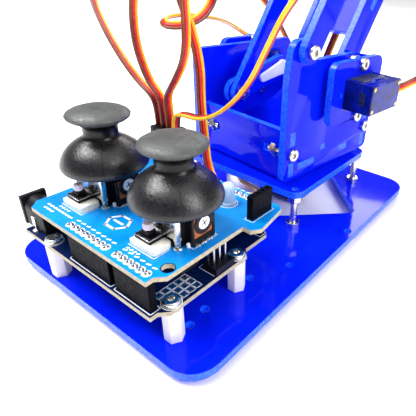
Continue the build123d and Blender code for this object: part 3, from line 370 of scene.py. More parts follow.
def servo(node, place):
    """A micro servo in three mouldings with seams, gear-case bumps, corner screws and a label, with painted
    shade in its holes, slots, screw recesses and wire exit.
    """
    part = bmesh.new()
    x0 = SERVO_CENTRE - SERVO_LENGTH / 2
    x1 = SERVO_CENTRE + SERVO_LENGTH / 2
    y = SERVO_WIDTH / 2
    merge(part, box((x0, -y, SERVO_BACK), (x1, y, SERVO_SEAM), 0.45), 0)
    merge(part, box((x0, -y, SERVO_SEAM), (x1, y, 0.0), 0.35), 0)
    merge(part, box((x0 - SERVO_EAR, -y, -2.5), (x1 + SERVO_EAR, y, 0.0), 0.3), 0)
    merge(part, box((x0, -y, 0.0), (x1, y, 4.3), 0.4), 0)
    merge(part, drum(5.7, 4.1, 8.3, 0.35, 64), 0)
    merge(part, drum(2.9, 4.1, 8.25, 0.3), 0, at(6.2, 0))
    for end in (-1, 1):
        ear_x = SERVO_CENTRE + end * 13.9
        # Material 3 is painted shade in the ear holes and slots, the screw recesses, the clip slots and the
        # wire exit.
        merge(part, drum(1.35, -0.02, 0.05), 3, at(ear_x, 0))
        merge(part, box((ear_x - end * 0.1, -0.6, -2.52), (ear_x + end * 2.2, 0.6, 0.03)), 3)
        for side in (-1, 1):
            corner = at(SERVO_CENTRE + end * 9.7, side * 4.5, SERVO_BACK)
            merge(part, drum(1.25, -0.02, 0.3), 3, corner)
            merge(part, drum(0.95, -0.05, 0.6, 0.2, 24), 1, corner)
            clip_x = SERVO_CENTRE + end * 5.2
            clip_y = sorted((side * (y + 0.02), side * (y - 0.08)))
            merge(part, box((clip_x - 1.2, clip_y[0], -15.0), (clip_x + 1.2, clip_y[1], -13.2)), 3)
    merge(part, box((x0 + 3.0, -y - 0.03, -12.4), (x1 - 3.0, -y + 0.2, -4.0), 0.02), 2)
    merge(part, box((x0 + 3.0, y - 0.2, -12.4), (x1 - 3.0, y + 0.03, -4.0), 0.02), 2)
    merge(part, box((x1 - 0.2, -2.6, -15.2), (x1 + 0.25, 2.6, -12.6), 0.1), 3)
    bmesh.ops.transform(part, matrix=place, verts=part.verts)
    obj = piece(part, f"{node}_finish", BODY_OF[node], SLOT_OF[node],
                [SERVO_CASE, GOLD, STICKER, SERVO_HOLE_SHADE])
    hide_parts(node)


def servos():
    servo("base_servo", plane((*YAW_AXIS, RAISED_Z), (1, 0, 0), (0, 0, 1)))
    servo("right_servo", TURRET @ plane((SIDE_OUT, *SHOULDER), (0, -1, 0), (-1, 0, 0)))
    servo("left_servo", TURRET @ plane((-SIDE_OUT, *SHOULDER), (0, -1, 0), (1, 0, 0)))
    servo("gripper_servo", TURRET @ plane((GRIP_X - CLAW_GAP / 2, GRIP_Y, GRIP_PLATE_Z), (-1, 0, 0),
                                          (0, 0, 1)))


# ---- joysticks ------------------------------------------------------------------------------------
# Heights are from the pivot of the stick, and FOOT is the top of the shield.
FOOT = SHIELD_TOP - STICK_PIVOT_Z
PAD_TOP = FOOT + 2.0
SENSOR_HALF = 4.55
FRAME_TOP = 1.9
LEG_PLACE = 6.55
SWITCH_AXIS = (-1.5, -10.0)
ROUND_STEPS = 96
CAP_PROFILE = [(0, 21.3), (2.2, 21.3), (4.6, 21.1), (6.8, 20.65), (8.4, 20.1), (9.4, 19.5), (9.85, 18.85),
               (9.6, 18.2), (8.8, 17.6), (7.6, 17.0), (6.4, 16.3), (5.7, 15.4), (5.4, 14.4), (5.4, 12.9),
               (5.6, 12.1), (6.2, 11.5), (7.2, 10.85), (8.8, 9.85), (10.5, 8.55), (11.9, 7.1), (13.0, 5.4),
               (13.7, 3.9), (13.95, 2.9), (13.85, 2.1), (13.5, 1.6), (13.1, 1.55), (12.72, 1.6)]
CAP_INSIDE = [(12.72, 1.6), (12.5, 2.8), (12.15, 4.0), (10.6, 6.2), (7.0, 7.6), (3.2, 8.0), (3.2, 5.0),
              (1.55, 5.0), (1.55, 11.6), (0, 11.6)]


def moulding_line(part):
    """The thin ridge down the skirt on both sides, where the two halves of the mould met."""
    path = CAP_PROFILE[16:24]
    for turn in (-0.62, -0.62 + math.pi):
        ridge = bmesh.new()
        rows = []
        for radius, height in path:
            rows.append([ridge.verts.new((radius - 0.02 + rise, side, height))
                         for side, rise in ((-0.09, 0.0), (0.0, 0.09), (0.09, 0.0))])
        for lower, upper in zip(rows, rows[1:]):
            for k in range(2):
                ridge.faces.new((lower[k], lower[k + 1], upper[k + 1], upper[k]))
        merge(part, ridge, 1, Matrix.Rotation(turn, 4, "Z"))


def joystick_cap(name, axis):
    """The rubber cap: grained skirt and thumb disc with a smooth neck and a moulding line."""
    part = bmesh.new()
    merge(part, lathe(CAP_PROFILE[:10], ROUND_STEPS), 2)
    merge(part, lathe(CAP_PROFILE[9:16], ROUND_STEPS), 1)
    merge(part, lathe(CAP_PROFILE[15:], ROUND_STEPS), 0)
    merge(part, lathe(CAP_INSIDE, ROUND_STEPS), 1)
    moulding_line(part)
    bmesh.ops.remove_doubles(part, verts=part.verts, dist=1e-4)
    bmesh.ops.recalc_face_normals(part, faces=part.faces)
    bmesh.ops.transform(part, matrix=at(*axis, STICK_PIVOT_Z), verts=part.verts)
    node = f"joystick_cap_{name}"
    obj = piece(part, f"{node}_finish", BODY_OF[node], SLOT_OF[node], [RUBBER, RUBBER_SMOOTH, THUMB],
                smooth=math.radians(50))
    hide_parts(node)


def sensor_block(part, turn, place, centre, rotor_z):
    """A potentiometer: a black case, a round black front over brown laminate and a white rotor whose cross
    slot carries painted shade.
    """
    spin = place @ Matrix.Rotation(turn, 4, "Z")
    low = centre - SENSOR_HALF
    high = centre + SENSOR_HALF
    merge(part, box((7.0, low, FOOT), (9.2, high, -0.7), 0.25), 0, spin)
    merge(part, box((7.9, low + 0.5, -7.9), (9.3, high - 0.5, -1.2), 0.08), 1, spin)
    merge(part, box((8.3, low, FOOT), (9.75, high, -7.6), 0.25), 0, spin)
    for side in (low + 0.45, high - 0.45):
        merge(part, box((8.3, side - 0.45, -7.7), (9.75, side + 0.45, -0.7), 0.2), 0, spin)
    face = spin @ at(9.1, centre + 0.3, rotor_z) @ Matrix.Rotation(math.pi / 2, 4, "Y")
    ring_profile = [(2.2, 0.0), (3.6, 0.0), (3.6, 0.5), (3.4, 0.62), (2.4, 0.62), (2.2, 0.5)]
    merge(part, lathe(ring_profile, 48), 0, face)
    merge(part, drum(2.1, 0.0, 0.66, 0.15, 40), 2, face)
    # The dark cross is painted shade where the rotor's cross slot is.
    for turn_cross in (0.35, 0.35 + math.pi / 2):
        merge(part, box((-1.1, -0.18, 0.5), (1.1, 0.18, 0.68)), 3,
              face @ Matrix.Rotation(turn_cross, 4, "Z"))
    merge(part, drum(0.55, 0.0, 1.6, 0.2, 20), 2, spin @ at(8.6, low - 0.75, FOOT))
    for pin_y in (centre - 2.5, centre, centre + 2.5):
        merge(part, lathe([(0.95, FOOT), (0.8, -9.45), (0.3, -9.25), (0, -9.22)], 16), 4,
              spin @ at(9.75, pin_y))


def rounded_pad():
    """The cream pad under the push switch, with a rounded end towards the frame's leg."""
    outline = [(-5.6, -7.0), (-5.6, -13.8), (3.6, -13.8)]
    outline += [(3.6 + 1.2 * math.sin(a), -12.6 - 1.2 * math.cos(a)) for a in (0.5, 1.0, math.pi / 2)]
    outline += [(4.8, -8.2), (4.4, -7.3), (3.6, -7.0)]
    part = bmesh.new()
    floor = part.faces.new([part.verts.new((x, y, FOOT)) for x, y in outline])
    grown = bmesh.ops.extrude_face_region(part, geom=[floor])
    top = [v for v in grown["geom"] if isinstance(v, bmesh.types.BMVert)]
    bmesh.ops.translate(part, vec=(0, 0, PAD_TOP - FOOT), verts=top)
    bmesh.ops.recalc_face_normals(part, faces=part.faces)
    rims = [e for e in part.edges if e.calc_face_angle(0) > 0.5 and all(v in top for v in e.verts)]
    bmesh.ops.bevel(part, geom=rims, offset=0.3, segments=3, profile=0.5, affect="EDGES")
    return part


def push_switch(part, place):
    """A small push switch with a metal top, a black stem and a pale eight-sided cap, on its pad."""
    merge(part, rounded_pad(), 6, place)
    merge(part, box((-4.8, -12.6, PAD_TOP), (1.8, -7.25, -6.65), 0.15), 0, place)
    merge(part, box((-4.85, -12.65, -6.65), (1.85, -7.2, -6.45), 0.05), 4, place)
    merge(part, box((-4.3, -12.1, -6.5), (1.3, -7.8, -6.35), 0.03), 0, place)
    for x in (-4.3, 1.3):
        for y in (-12.1, -7.75):
            merge(part, drum(0.34, -6.5, -6.22, 0.08, 16), 0, place @ at(x, y))
    stem = place @ at(*SWITCH_AXIS)
    merge(part, box((-1.5, -1.4, -6.4), (1.5, 1.4, -4.7), 0.25), 0, stem)
    merge(part, drum(1.58, -4.7, -2.55, 0.3, 8), 5, stem @ Matrix.Rotation(math.pi / 8, 4, "Z"))


def joystick_sensors():
    part = bmesh.new()
    for axis in STICK_AXES.values():
        place = at(*axis, STICK_PIVOT_Z)
        sensor_block(part, 0.0, place, 0.8, -3.4)
        sensor_block(part, math.pi / 2, place, 0.0, -4.4)
        push_switch(part, place)
    obj = piece(part, "joystick_sensors_finish", "base", SLOT_OF["joystick_sensors"],
                [BLACK, BROWN, WHITE, SLOT_SHADE, TIN, LILAC, CREAM])
    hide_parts("joystick_sensors")


def joystick_frames():
    """The folded metal frames with their black inner housings and corner legs."""
    finished("joystick_frames", [BLACK], 0.2)
    part = bmesh.new()
    for axis in STICK_AXES.values():
        place = at(*axis, STICK_PIVOT_Z)
        for sx in (-1, 1):
            for sy in (-1, 1):
                corner = place @ at(sx * LEG_PLACE, sy * LEG_PLACE)
                merge(part, box((-0.95, -0.95, -7.4), (0.95, 0.95, FRAME_TOP), 0.35, 3), 0, corner)
                merge(part, box((-0.7, -0.7, FOOT), (0.7, 0.7, -7.3), 0.2), 0, corner)
                merge(part, lathe([(1.45, FOOT), (1.2, -9.3), (0.6, -9.0), (0, -8.95)], 20), 1, corner)
        merge(part, box((-6.9, -7.25, -6.9), (6.9, -6.95, 1.8), 0.1), 0, place)
        merge(part, box((-7.25, -6.9, -6.9), (-6.95, 6.9, 1.8), 0.1), 0, place)
    piece(part, "joystick_brackets", "base", "bright_metal", [TIN, SOLDER])


def joysticks():
    for name, axis in STICK_AXES.items():
        joystick_cap(name, axis)
        finished(f"joystick_yoke_{name}", [WHITE], 0.1)
        finished(f"joystick_stick_{name}", [WHITE], 0.1)
    joystick_sensors()
    joystick_frames()


# ---- boards ---------------------------------------------------------------------------------------
OUTLINE_WIDTH = 0.2


def flat_rule(face):
    return 0 if abs(face.normal.z) > FLAT_FACE else 1


def stroke(part, points, level, width=0.25, height=0.03, index=0):
    """A printed line on a board."""
    for start, end in zip(points, points[1:]):
        a = Vector((*on_board(*start), level))
        b = Vector((*on_board(*end), level))
        run = b - a
        place = Matrix.Translation((a + b) / 2) @ Matrix.Rotation(math.atan2(run.y, run.x), 4, "Z")
        half = run.length / 2 + width / 2
        merge(part, box((-half, -width / 2, 0), (half, width / 2, height)), index, place)


def frame_line(x, y):
    return [(x[0], y[0]), (x[1], y[0]), (x[1], y[1]), (x[0], y[1]), (x[0], y[0])]


def ring(part, x, y, level, inner, outer, height=0.05, index=0):
    merge(part, lathe([(inner, 0.0), (inner, height), (outer, height), (outer, 0.0)], 24), index,
          at(*on_board(x, y), level))


def joint(part, x, y, level, index=0):
    """A soldered pin: a pad, a cone of solder and the tip of the pin."""
    merge(part, lathe([(1.05, 0.0), (1.05, 0.06), (0.85, 0.14), (0.55, 0.5), (0.38, 0.85), (0, 0.9)], 20),
          index, at(*on_board(x, y), level))


HEADER_ROWS = [((26.7, 47.0), (1.3, 3.8)), ((49.5, 64.8), (1.3, 3.8)),
               ((18.8, 42.9), (49.5, 52.0)), ((44.5, 64.8), (49.5, 52.0))]


def controller_board():
    finished("controller_board", [MASK_DARK, LAMINATE], 0.1, flat_rule)
    part = bmesh.new()
    top = BOARD_TOP
    for x, y in HEADER_ROWS:
        stroke(part, frame_line((x[0] - 0.5, x[1] + 0.5), (y[0] - 0.5, y[1] + 0.5)), top)
    stroke(part, [(60.8, 23.4), (60.8, 32.0), (67.4, 32.0), (67.4, 23.4), (60.8, 23.4)], top)
    for column in range(3):
        for row in range(5):
            x = 61.0 + PIN_PITCH * column
            y = 7.2 + PIN_PITCH * row
            ring(part, x, y, top, 0.45, 0.95, index=1)
            stroke(part, frame_line((x - 1.15, x + 1.15), (y - 1.1, y + 1.1)), top, 0.18)
    for x, y in ((14.0, 2.5), (15.2, 50.7), (66.0, 35.6), (66.0, 7.6)):
        ring(part, x, y, top, 2.9, 3.15, index=0)
    piece(part, "controller_board_print", "base", SLOT_OF["controller_board"], [SILK, TIN])


def board_marks(part, top):
    """Generic printing on the shield: a plain hexagon between the sticks and rows of dashes."""
    x, y = 37.6, 12.5
    corners = [(x + 4.2 * math.cos(a), y + 3.6 * math.sin(a)) for a in [math.pi / 3 * k for k in range(7)]]
    stroke(part, corners, top, 0.8)
    stroke(part, [(x - 1.9, y), (x + 1.9, y)], top, 0.8)
    for row, (start, count) in enumerate(((11.6, 8), (12.6, 3))):
        for dash in range(count):
            left = start + 1.75 * dash
            stroke(part, [(left, 4.6 - 1.7 * row), (left + 0.9, 4.75 - 1.7 * row)], top, 0.6)
    for dash in range(5):
        stroke(part, [(64.2, 20.0 + 1.6 * dash), (64.6, 20.7 + 1.6 * dash)], top, 0.5)


def shield_board():
    finished("shield_board", [MASK_LIGHT, LAMINATE], 0.12, flat_rule)
    part = bmesh.new()
    top = SHIELD_TOP
    for x0, count, y in ((27.94, 8, 2.54), (50.8, 6, 2.54), (18.8, 10, 50.8), (45.72, 8, 50.8)):
        for pin in range(count):
            x = x0 + PIN_PITCH * pin
            joint(part, x, y, top, 1)
            ring(part, x, y, top, 1.15, 1.4, 0.03, 0)
            stroke(part, [(x - 0.5, y + 2.6), (x + 0.5, y + 2.9)], top, 0.5)
    for axis in STICK_AXES.values():
        x = axis[0] - BOARD_ORIGIN[0]
        y = axis[1] - BOARD_ORIGIN[1]
        pad_line = [(-5.9, -14.2), (5.2, -14.2), (5.2, -8.6)]
        sensor_line = [(8.6, -4.1), (10.3, -4.1), (10.3, 5.7), (8.0, 5.7)]
        for line in (pad_line, sensor_line):
            stroke(part, [(x + dx, y + dy) for dx, dy in line], top, OUTLINE_WIDTH)
        for tick in range(4):
            stroke(part, [(x - 4.6 + 1.5 * tick, y - 15.6), (x - 4.2 + 1.5 * tick, y - 15.3)], top, 0.55)
    board_marks(part, top)
    ring(part, 66.04, 7.62, top, 1.85, 2.15, 0.02, 2)
    stroke(part, frame_line((65.9, 69.4), (39.4, 50.8)), top, OUTLINE_WIDTH)
    ring(part, 55.2, 43.5, top, 3.2, 3.45, 0.03, 0)
    piece(part, "shield_board_print", "base", SLOT_OF["shield_board"], [SILK, SOLDER, MASK_DARK])


def sockets():
    finished("board_headers", [STRIP], 0.12)
    finished("module_socket", [STRIP], 0.12)
    finished("servo_plugs", [BLACK], 0.2)

    def pin_rule(face):
        z = face.calc_center_median().z / MM
        return 1 if z < SHIELD_TOP - 4.2 or z > SHIELD_TOP + 2.6 else 0
    finished("shield_pins", [STRIP, GOLD], 0.0, pin_rule)
    board_sockets()
    board_chips()
    plug_clips()


JACK_AXIS_Z = 6.2
USB_TONGUE = (4.4, 6.6)


def board_sockets():
    """The barrel jack in black with its centre pin, and the USB shell with its tongue."""
    usb_y = (BOARD_ORIGIN[1] + 30.0) * MM

    def rule(face):
        return 1 if face.calc_center_median().y > usb_y else 0
    finished("board_sockets", [BLACK, TIN], 0.25, rule)
    part = bmesh.new()
    x, y = on_board(-4.0, 6.3)
    along_jack = at(x, y, BOARD_TOP + JACK_AXIS_Z) @ Matrix.Rotation(math.pi / 2, 4, "Y")
    merge(part, drum(1.0, 0.6, 8.6, 0.3, 24), 0, along_jack)
    x, y = on_board(-6.0, 37.8)
    low, high = (BOARD_TOP + level for level in USB_TONGUE)
    merge(part, box((x + 1.2, y - 2.9, low), (x + 8.0, y + 2.9, high), 0.2), 1)
    for lead in (-2.2, -0.8, 0.8, 2.2):
        merge(part, box((x + 1.3, y + lead - 0.3, low - 0.2), (x + 7.6, y + lead + 0.3, low + 0.05)), 2)
    x, y = on_board(3.6, 2.0)
    merge(part, box((x - 0.9, y - 0.35, BOARD_TOP - 0.2), (x + 0.9, y + 0.45, BOARD_TOP + 5.6), 0.15), 0)
    merge(part, lathe([(1.3, 0.0), (1.1, 0.35), (0.5, 0.6), (0, 0.65)], 20), 0, at(x, y, BOARD_TOP))
    piece(part, "socket_contacts", "base", "bright_metal", [TIN, WHITE, GOLD])


def board_chips():
    """Black chip with tinned legs, silver crystal and capacitors, and tinned programming pins."""
    def rule(face):
        middle = face.calc_center_median() / MM
        x = middle.x - BOARD_ORIGIN[0]
        y = middle.y - BOARD_ORIGIN[1]
        z = middle.z - BOARD_TOP
        if x > 62.0:
            return 2
        if x < 25.0:
            return 0 if 29 < y < 36 else 1
        return 1 if z < 1.25 and (y < 17.01 or y > 24.39) else 0
    finished("board_chips", [CHIP, TIN, TIN], 0.06, rule)
    part = bmesh.new()
    for y in (10.5, 18.0):
        place = at(*on_board(15.5, y), BOARD_TOP)
        merge(part, lathe([(3.12, 0.0), (3.4, 0.1), (3.4, 0.9), (3.12, 1.1)], 32), 0, place)
        merge(part, box((-3.0, 1.2, 5.58), (3.0, 2.6, 5.66)), 0, place)
    x, y = on_board(65.4, 27.7)
    merge(part, box((x - 2.9, y - 4.1, BOARD_TOP), (x + 2.9, y + 4.1, BOARD_TOP + 2.4), 0.15), 0)
    piece(part, "chip_details", "base", "chip_black", [BLACK, SILK])


PLUG_FACE = 1.26
PLUG_WINDOW_Z = (36.0, 38.2)


def plug_clips():
    """The contacts that show in the windows on both faces of each plug."""
    part = bmesh.new()
    low, high = PLUG_WINDOW_Z
    for x in PLUG_X:
        for row in (-PIN_PITCH, 0.0, PIN_PITCH):
            y = PLUG_Y + row
            for face_x in (x - PLUG_FACE, x + PLUG_FACE):
                merge(part, box((face_x - 0.05, y - 0.45, low), (face_x + 0.05, y + 0.45, high)))
    piece(part, "plug_contacts", "base", "gold_pins", [GOLD])


def status_led():
    """A clear domed lamp with its reflector cup and lead posts inside."""
    x, y = on_board(55.2, 43.5)
    dome = [(2.5 * math.cos(a), 5.6 + 2.5 * math.sin(a)) for a in [math.pi / 2 * k / 12 for k in range(13)]]
    part = bmesh.new()
    merge(part, lathe([(0, 0.0), (2.9, 0.0), (2.9, 1.0), (2.5, 1.05)] + dome[:-1] + [(0, 8.1)], 48), 0)
    cup = [(0, 3.2), (0.5, 3.2), (0.75, 4.3), (0.6, 4.3), (0.35, 3.5), (0, 3.5)]
    merge(part, lathe(cup, 20), 1, at(0.4, 0))
    merge(part, box((0.1, -0.25, 0.2), (0.7, 0.25, 3.3), 0.05), 1)
    merge(part, box((-1.1, -0.25, 0.2), (-0.5, 0.25, 4.0), 0.05), 1)
    bmesh.ops.transform(part, matrix=at(x, y, SHIELD_TOP), verts=part.verts)
    obj = piece(part, "status_led_finish", "base", SLOT_OF["status_led"], [LED_CLEAR, LED_CUP],
                smooth=math.radians(40))
    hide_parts("status_led")


# ---- ribbons --------------------------------------------------------------------------------------
WIRE_PITCH = 1.27
WIRE_RADIUS = 0.64
RIBBON_SIDES = 10


def over_plug(number, height=0.0):
    return (PLUG_X[number], PLUG_Y, PLUG_TOP + height)


def arm_side(degrees, start, x, distance, side):
    y, z = offset(offset(start, distance, degrees), side, degrees + 90)
    return (x, y, z)


def onward(before, here, length):
    step = Vector(here) - Vector(before)
    return tuple(Vector(here) + step.normalized() * length)


BASE_CABLE = [
    (-10.9, 16, 5.2), (-17, 16, 5.2), (-21.5, 9, 5.5), (-16, 0, 7), (-5, -5, 9), (5, -10, 11.5),
    (8, -18, 14), (1, -23.5, 14.5), (-9, -24, 16), (-14, -24, 24), (-15, -24, 37), (-16.5, -24, 51),
    (-16, -24, 66), (-20, -24, 79), (-25, -24.5, 90), (-23, -28, 101), (-14, -34, 104), (-7, -39, 96),
    (-4, -41, 84), (-3, -43, 73), (-8, -44.5, 64), (-13.8, -43, 58.5), over_plug(2, 6), over_plug(2),
]
LEFT_CABLE = [
    on_turret(-WIRE_OUT_X, CASE_END, 56.3), on_turret(-WIRE_OUT_X, CASE_END + 8, 56.3),
    (-52, 55, 62), (-57, 45, 69), (-52, 30, 74), (-46, 16, 77), (-45, 4, 79), (-48, -6, 79.5),
    (-47.5, -14.5, 78.5), (-40.5, -19, 77), (-34, -14, 77.5), (-31, -5, 81.5), (-30, 0, 90),
    (-29, -4, 101), (-27, -15, 108.5), (-27, -27, 108), (-28.5, -36, 101), (-30, -41, 91),
    (-30.5, -42, 75), (-25, -42, 62), (-18.5, -42, 57), over_plug(1, 6), over_plug(1),
]
RIGHT_CABLE = [
    on_turret(WIRE_OUT_X, CASE_END, 56.3), on_turret(WIRE_OUT_X, CASE_END + 7, 56.3), (46, 51, 60),
    (57, 55, 68), (67, 50, 80), (71, 38, 93), (67, 22, 105), (58, 4, 112), (48, -14, 112),
    (39, -29, 104), (33, -38, 92), (28.5, -41, 80), (24, -41, 71.5), (18.5, -41, 64.5), (12.5, -41, 59.0),
    (6.5, -41, 55), (0.5, -41.5, 52.8), (-6, -42, 53), over_plug(3, 6), over_plug(3),
]
FOREARM_CABLE = [
    (GRIP_X - CLAW_GAP / 2 + 5.9, GRIP_Y, GRIP_PLATE_Z - 13.0),
    (GRIP_X - CLAW_GAP / 2 + 12.5, GRIP_Y, GRIP_PLATE_Z - 13.0),
    (11.5, GRIP_Y - 7, GRIP_PLATE_Z - 12.5), (9.0, GRIP_Y - 18, GRIP_PLATE_Z - 10.5),
    (3.5, GRIP_Y - 30, GRIP_PLATE_Z - 6.0),
    arm_side(RISE, ELBOW, 2.0, 66, -7.5), arm_side(RISE, ELBOW, 3.0, 50, -5.5),
    arm_side(RISE, ELBOW, 3.2, 33, -6.5), arm_side(RISE, ELBOW, 3.0, 18, -9.5),
    arm_side(LEAN, SHOULDER, 3.0, ARM - 5, -12.5),
]
ARM_CABLE = [
    FOREARM_CABLE[-1], onward(FOREARM_CABLE[-2], FOREARM_CABLE[-1], 7.0),
    arm_side(LEAN, SHOULDER, 3.0, 56, -6.0), arm_side(LEAN, SHOULDER, 3.0, 40, -5.0),
    arm_side(LEAN, SHOULDER, 1.0, 25, -8.0), arm_side(LEAN, SHOULDER, -3.0, 16, -14.0),
]
GRIPPER_LEAD = [
    on_turret(*ARM_CABLE[-1]), on_turret(*onward(ARM_CABLE[-2], ARM_CABLE[-1], 8.0)),
    on_turret(-13, 42, 49), on_turret(-24, 44, 52), on_turret(-34, 44, 62), on_turret(-43, 42, 75),
    on_turret(-52, 37, 87), (-63, 41, 97), (-72, 27, 104), (-77, 11, 107), (-77, -5, 106), (-74, -19, 101),
    (-68, -31, 94), (-60, -38, 86), (-49, -41, 76), (-39, -42, 67), (-30, -42, 60), (-22.5, -42, 56.5),
    over_plug(0, 6), over_plug(0),
]
ALONG_X = (1, 0, 0)
ALONG_Y = (0, 1, 0)
ALONG_Z = (0, 0, 1)


def centreline(points):
    """The smooth line of a route, as points in metres read from its NURBS spline."""
    curve = bpy.data.curves.new("route", "CURVE")
    curve.dimensions = "3D"
    curve.resolution_u = 14
    spline = curve.splines.new("NURBS")
    spline.points.add(len(points) - 1)
    for spot, point in zip(spline.points, points):
        spot.co = (point[0] * MM, point[1] * MM, point[2] * MM, 1.0)
    spline.order_u = 3
    spline.use_endpoint_u = True
    holder = bpy.data.objects.new("route", curve)
    mesh = bpy.data.meshes.new_from_object(holder)
    line = [vertex.co.copy() for vertex in mesh.vertices]
    bpy.data.meshes.remove(mesh)
    bpy.data.objects.remove(holder)
    bpy.data.curves.remove(curve)
    return line


def side_vectors(line, first_side, last_side):
    """The ribbon's width direction along its line, turned evenly to meet both ends."""
    tangents = []
    for k in range(len(line)):
        step = line[min(k + 1, len(line) - 1)] - line[max(k - 1, 0)]
        tangents.append(step.normalized())
    side = Vector(first_side)
    sides = []
    for tangent in tangents:
        side = (side - tangent * side.dot(tangent)).normalized()
        sides.append(side.copy())
    wanted = Vector(last_side)
    wanted = (wanted - tangents[-1] * wanted.dot(tangents[-1])).normalized()
    twist = math.atan2(tangents[-1].dot(sides[-1].cross(wanted)), sides[-1].dot(wanted))
    count = len(line) - 1
    turned = []
    for k, (tangent, side) in enumerate(zip(tangents, sides)):
        share = k / count
        share = share * share * (3 - 2 * share)
        turned.append((tangent, Matrix.Rotation(twist * share, 3, tangent) @ side))
    return turned


def ribbon_mesh(line, frames, flip):
    """Three round wires side by side along a line."""
    part = bmesh.new()
    radius = WIRE_RADIUS * MM
    turns = [2 * math.pi * k / RIBBON_SIDES for k in range(RIBBON_SIDES)]
    for wire in (-1, 0, 1):
        index = wire + 1 if not flip else 1 - wire
        rings = []
        for point, (tangent, side) in zip(line, frames):
            normal = tangent.cross(side)
            middle = point + side * (wire * WIRE_PITCH * MM)
            spokes = [side * (radius * math.cos(a)) + normal * (radius * math.sin(a)) for a in turns]
            rings.append([part.verts.new(middle + spoke) for spoke in spokes])
        for lower, upper in zip(rings, rings[1:]):
            for k in range(RIBBON_SIDES):
                n = (k + 1) % RIBBON_SIDES
                face = part.faces.new((lower[k], lower[n], upper[n], upper[k]))
                face.material_index = index
        for end in (rings[0], rings[-1]):
            part.faces.new(end).material_index = index
    bmesh.ops.recalc_face_normals(part, faces=part.faces)
    return part


def length_of(line):
    return sum((b - a).length for a, b in zip(line, line[1:]))


def ribbon(node, points, sides, stretches, flip=False):
    """A servo ribbon in one or more stretches between the bodies that it joins: a stretch within one body
    rides on it, a stretch between two bodies stays fixed in place.
    """
    line = centreline(points)
    frames = side_vectors(line, *sides)
    count = len(line) - 1
    for number, (start, end, body_a, body_b) in enumerate(stretches):
        first = round(start * count)
        last = round(end * count)
        part = ribbon_mesh(line[first:last + 1], frames[first:last + 1], flip)
        mesh_line = line[first:last + 1]
        obj = ribbon_piece(part, f"{node}_ribbon_{number}", node, body_a, body_b, mesh_line)
        tuple(mesh_line[0])
        length_of(mesh_line)
        [tuple(p) for p in mesh_line]


def ribbon_piece(part, name, node, body_a, body_b, line):
    mesh = bpy.data.meshes.new(name)
    part.to_mesh(mesh)
    part.free()
    for material in (WIRE_BROWN, WIRE_RED, WIRE_YELLOW):
        mesh.materials.append(material)
    mesh.shade_smooth()
    obj = bpy.data.objects.new(name, mesh)
    bpy.context.scene.collection.objects.link(obj)
    if body_a == body_b:
        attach(obj, body_a)
    else:
        tuple(line[0])
        tuple(line[-1])
        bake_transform(obj)
    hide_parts(node)
    return obj


def ribbons():
    ribbon("cable_base_servo", BASE_CABLE, (ALONG_Y, ALONG_Y), [(0, 1, "base", "base")])
    ribbon("cable_left_servo", LEFT_CABLE, (ALONG_Z, ALONG_Y), [(0, 1, "turret", "base")])
    ribbon("cable_right_servo", RIGHT_CABLE, (ALONG_Z, ALONG_Y), [(0, 1, "turret", "base")], flip=True)
    ribbon("cable_gripper_lead", GRIPPER_LEAD, (ALONG_X, ALONG_Y),
           [(0, 0.17, "upper_arm", "turret"), (0.17, 1, "turret", "base")])
    forearm = [on_turret(*point) for point in FOREARM_CABLE]
    ribbon("cable_forearm", forearm, (ALONG_Y, ALONG_X),
           [(0, 0.6, "gripper", "forearm"), (0.6, 1, "forearm", "elbow_triangle")])
    arm = [on_turret(*point) for point in ARM_CABLE]
    ribbon("cable_upper_arm", arm, (ALONG_X, ALONG_X), [(0, 1, "elbow_triangle", "upper_arm")])


# ---- stage ----------------------------------------------------------------------------------------
CAMERA_PLACE = (103.06, -139.55, 102.71)
CAMERA_FORWARD = (-0.4872, 0.7221, -0.4911)
CAMERA_ROLL = 3.67
CAMERA_LENS = 35.72
CAMERA_SHIFT = (-0.1739, -0.0336)


def camera():
    forward = Vector(CAMERA_FORWARD).normalized()
    right = forward.cross(Vector((0, 0, 1))).normalized()
    down = forward.cross(right)
    roll = math.radians(CAMERA_ROLL)
    turned_right = right * math.cos(roll) - down * math.sin(roll)
    turned_down = right * math.sin(roll) + down * math.cos(roll)
    data = bpy.data.cameras.new("camera")
    data.sensor_width = 36.0
    data.lens = CAMERA_LENS
    data.shift_x, data.shift_y = CAMERA_SHIFT
    data.clip_start = 0.005
    data.clip_end = 20.0
    obj = bpy.data.objects.new("camera", data)
    obj.matrix_world = Matrix((turned_right, -turned_down, -forward)).transposed().to_4x4()
    obj.location = Vector(CAMERA_PLACE) * MM
    bpy.context.scene.collection.objects.link(obj)
    bpy.context.scene.camera = obj


def softbox(name, place, aim, size, power):
    data = bpy.data.lights.new(name, "AREA")
    data.shape = "RECTANGLE"
    data.size, data.size_y = size
    data.energy = power
    obj = bpy.data.objects.new(name, data)
    obj.location = place
    obj.rotation_euler = (Vector(aim) - Vector(place)).to_track_quat("-Z", "Y").to_euler()
    bpy.context.scene.collection.objects.link(obj)


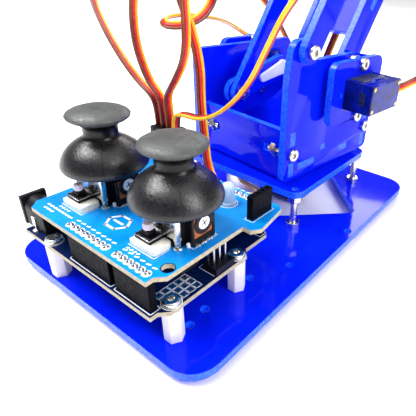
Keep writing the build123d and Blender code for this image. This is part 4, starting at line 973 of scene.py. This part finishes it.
# The sky is white at the horizon, dim above it and bright overhead, so that glossy sheets keep their colour.
SKY_WHITE_UP_TO = 0.1
SKY_DARK_FROM = 0.2
SKY_UPPER = [(0.7, 0.25), (0.85, 1.5)]
FLOOR_HALF = 3.0


def studio():
    """A pale floor, a soft sky and three soft lights."""
    mesh = bpy.data.meshes.new("floor")
    part = bmesh.new()
    bmesh.ops.create_grid(part, x_segments=8, y_segments=8, size=FLOOR_HALF)
    bmesh.ops.translate(part, vec=(0, 0, FLOOR_LEVEL * MM), verts=part.verts)
    part.to_mesh(mesh)
    part.free()
    mesh.materials.append(PAPER)
    floor = bpy.data.objects.new("floor", mesh)
    bpy.context.scene.collection.objects.link(floor)
    world = bpy.data.worlds.new("studio")
    bpy.context.scene.world = world
    world.use_nodes = True
    tree = world.node_tree
    background = tree.nodes["Background"]
    height = tree.nodes.new("ShaderNodeSeparateXYZ")
    tree.links.new(tree.nodes.new("ShaderNodeTexCoord").outputs["Generated"], height.inputs["Vector"])
    sky = tree.nodes.new("ShaderNodeValToRGB")
    stops = sky.color_ramp.elements
    stops[0].position, stops[0].color = SKY_WHITE_UP_TO, (1.0, 1.0, 1.0, 1.0)
    stops[1].position, stops[1].color = SKY_DARK_FROM, (0.2, 0.2, 0.21, 1.0)
    for position, level in SKY_UPPER:
        stops.new(position).color = (level, level, level, 1.0)
    tree.links.new(height.outputs["Z"], sky.inputs["Fac"])
    tree.links.new(sky.outputs["Color"], background.inputs["Color"])
    background.inputs["Strength"].default_value = 1.0
    softbox("key", (-0.45, -0.3, 0.9), (0, 0, 0.03), (0.6, 0.6), 16.0)
    softbox("right", (0.8, 0.0, 0.55), (0, 0, 0.05), (0.35, 0.7), 7.0)
    softbox("back", (-0.25, 0.9, 0.65), (0, 0, 0.05), (0.5, 0.25), 5.0)
    bpy.context.scene.view_settings.view_transform = "Standard"


camera()
ribbons()
acrylic_sheets()
plain_nodes()
servos()
joysticks()
controller_board()
shield_board()
sockets()
status_led()
studio()
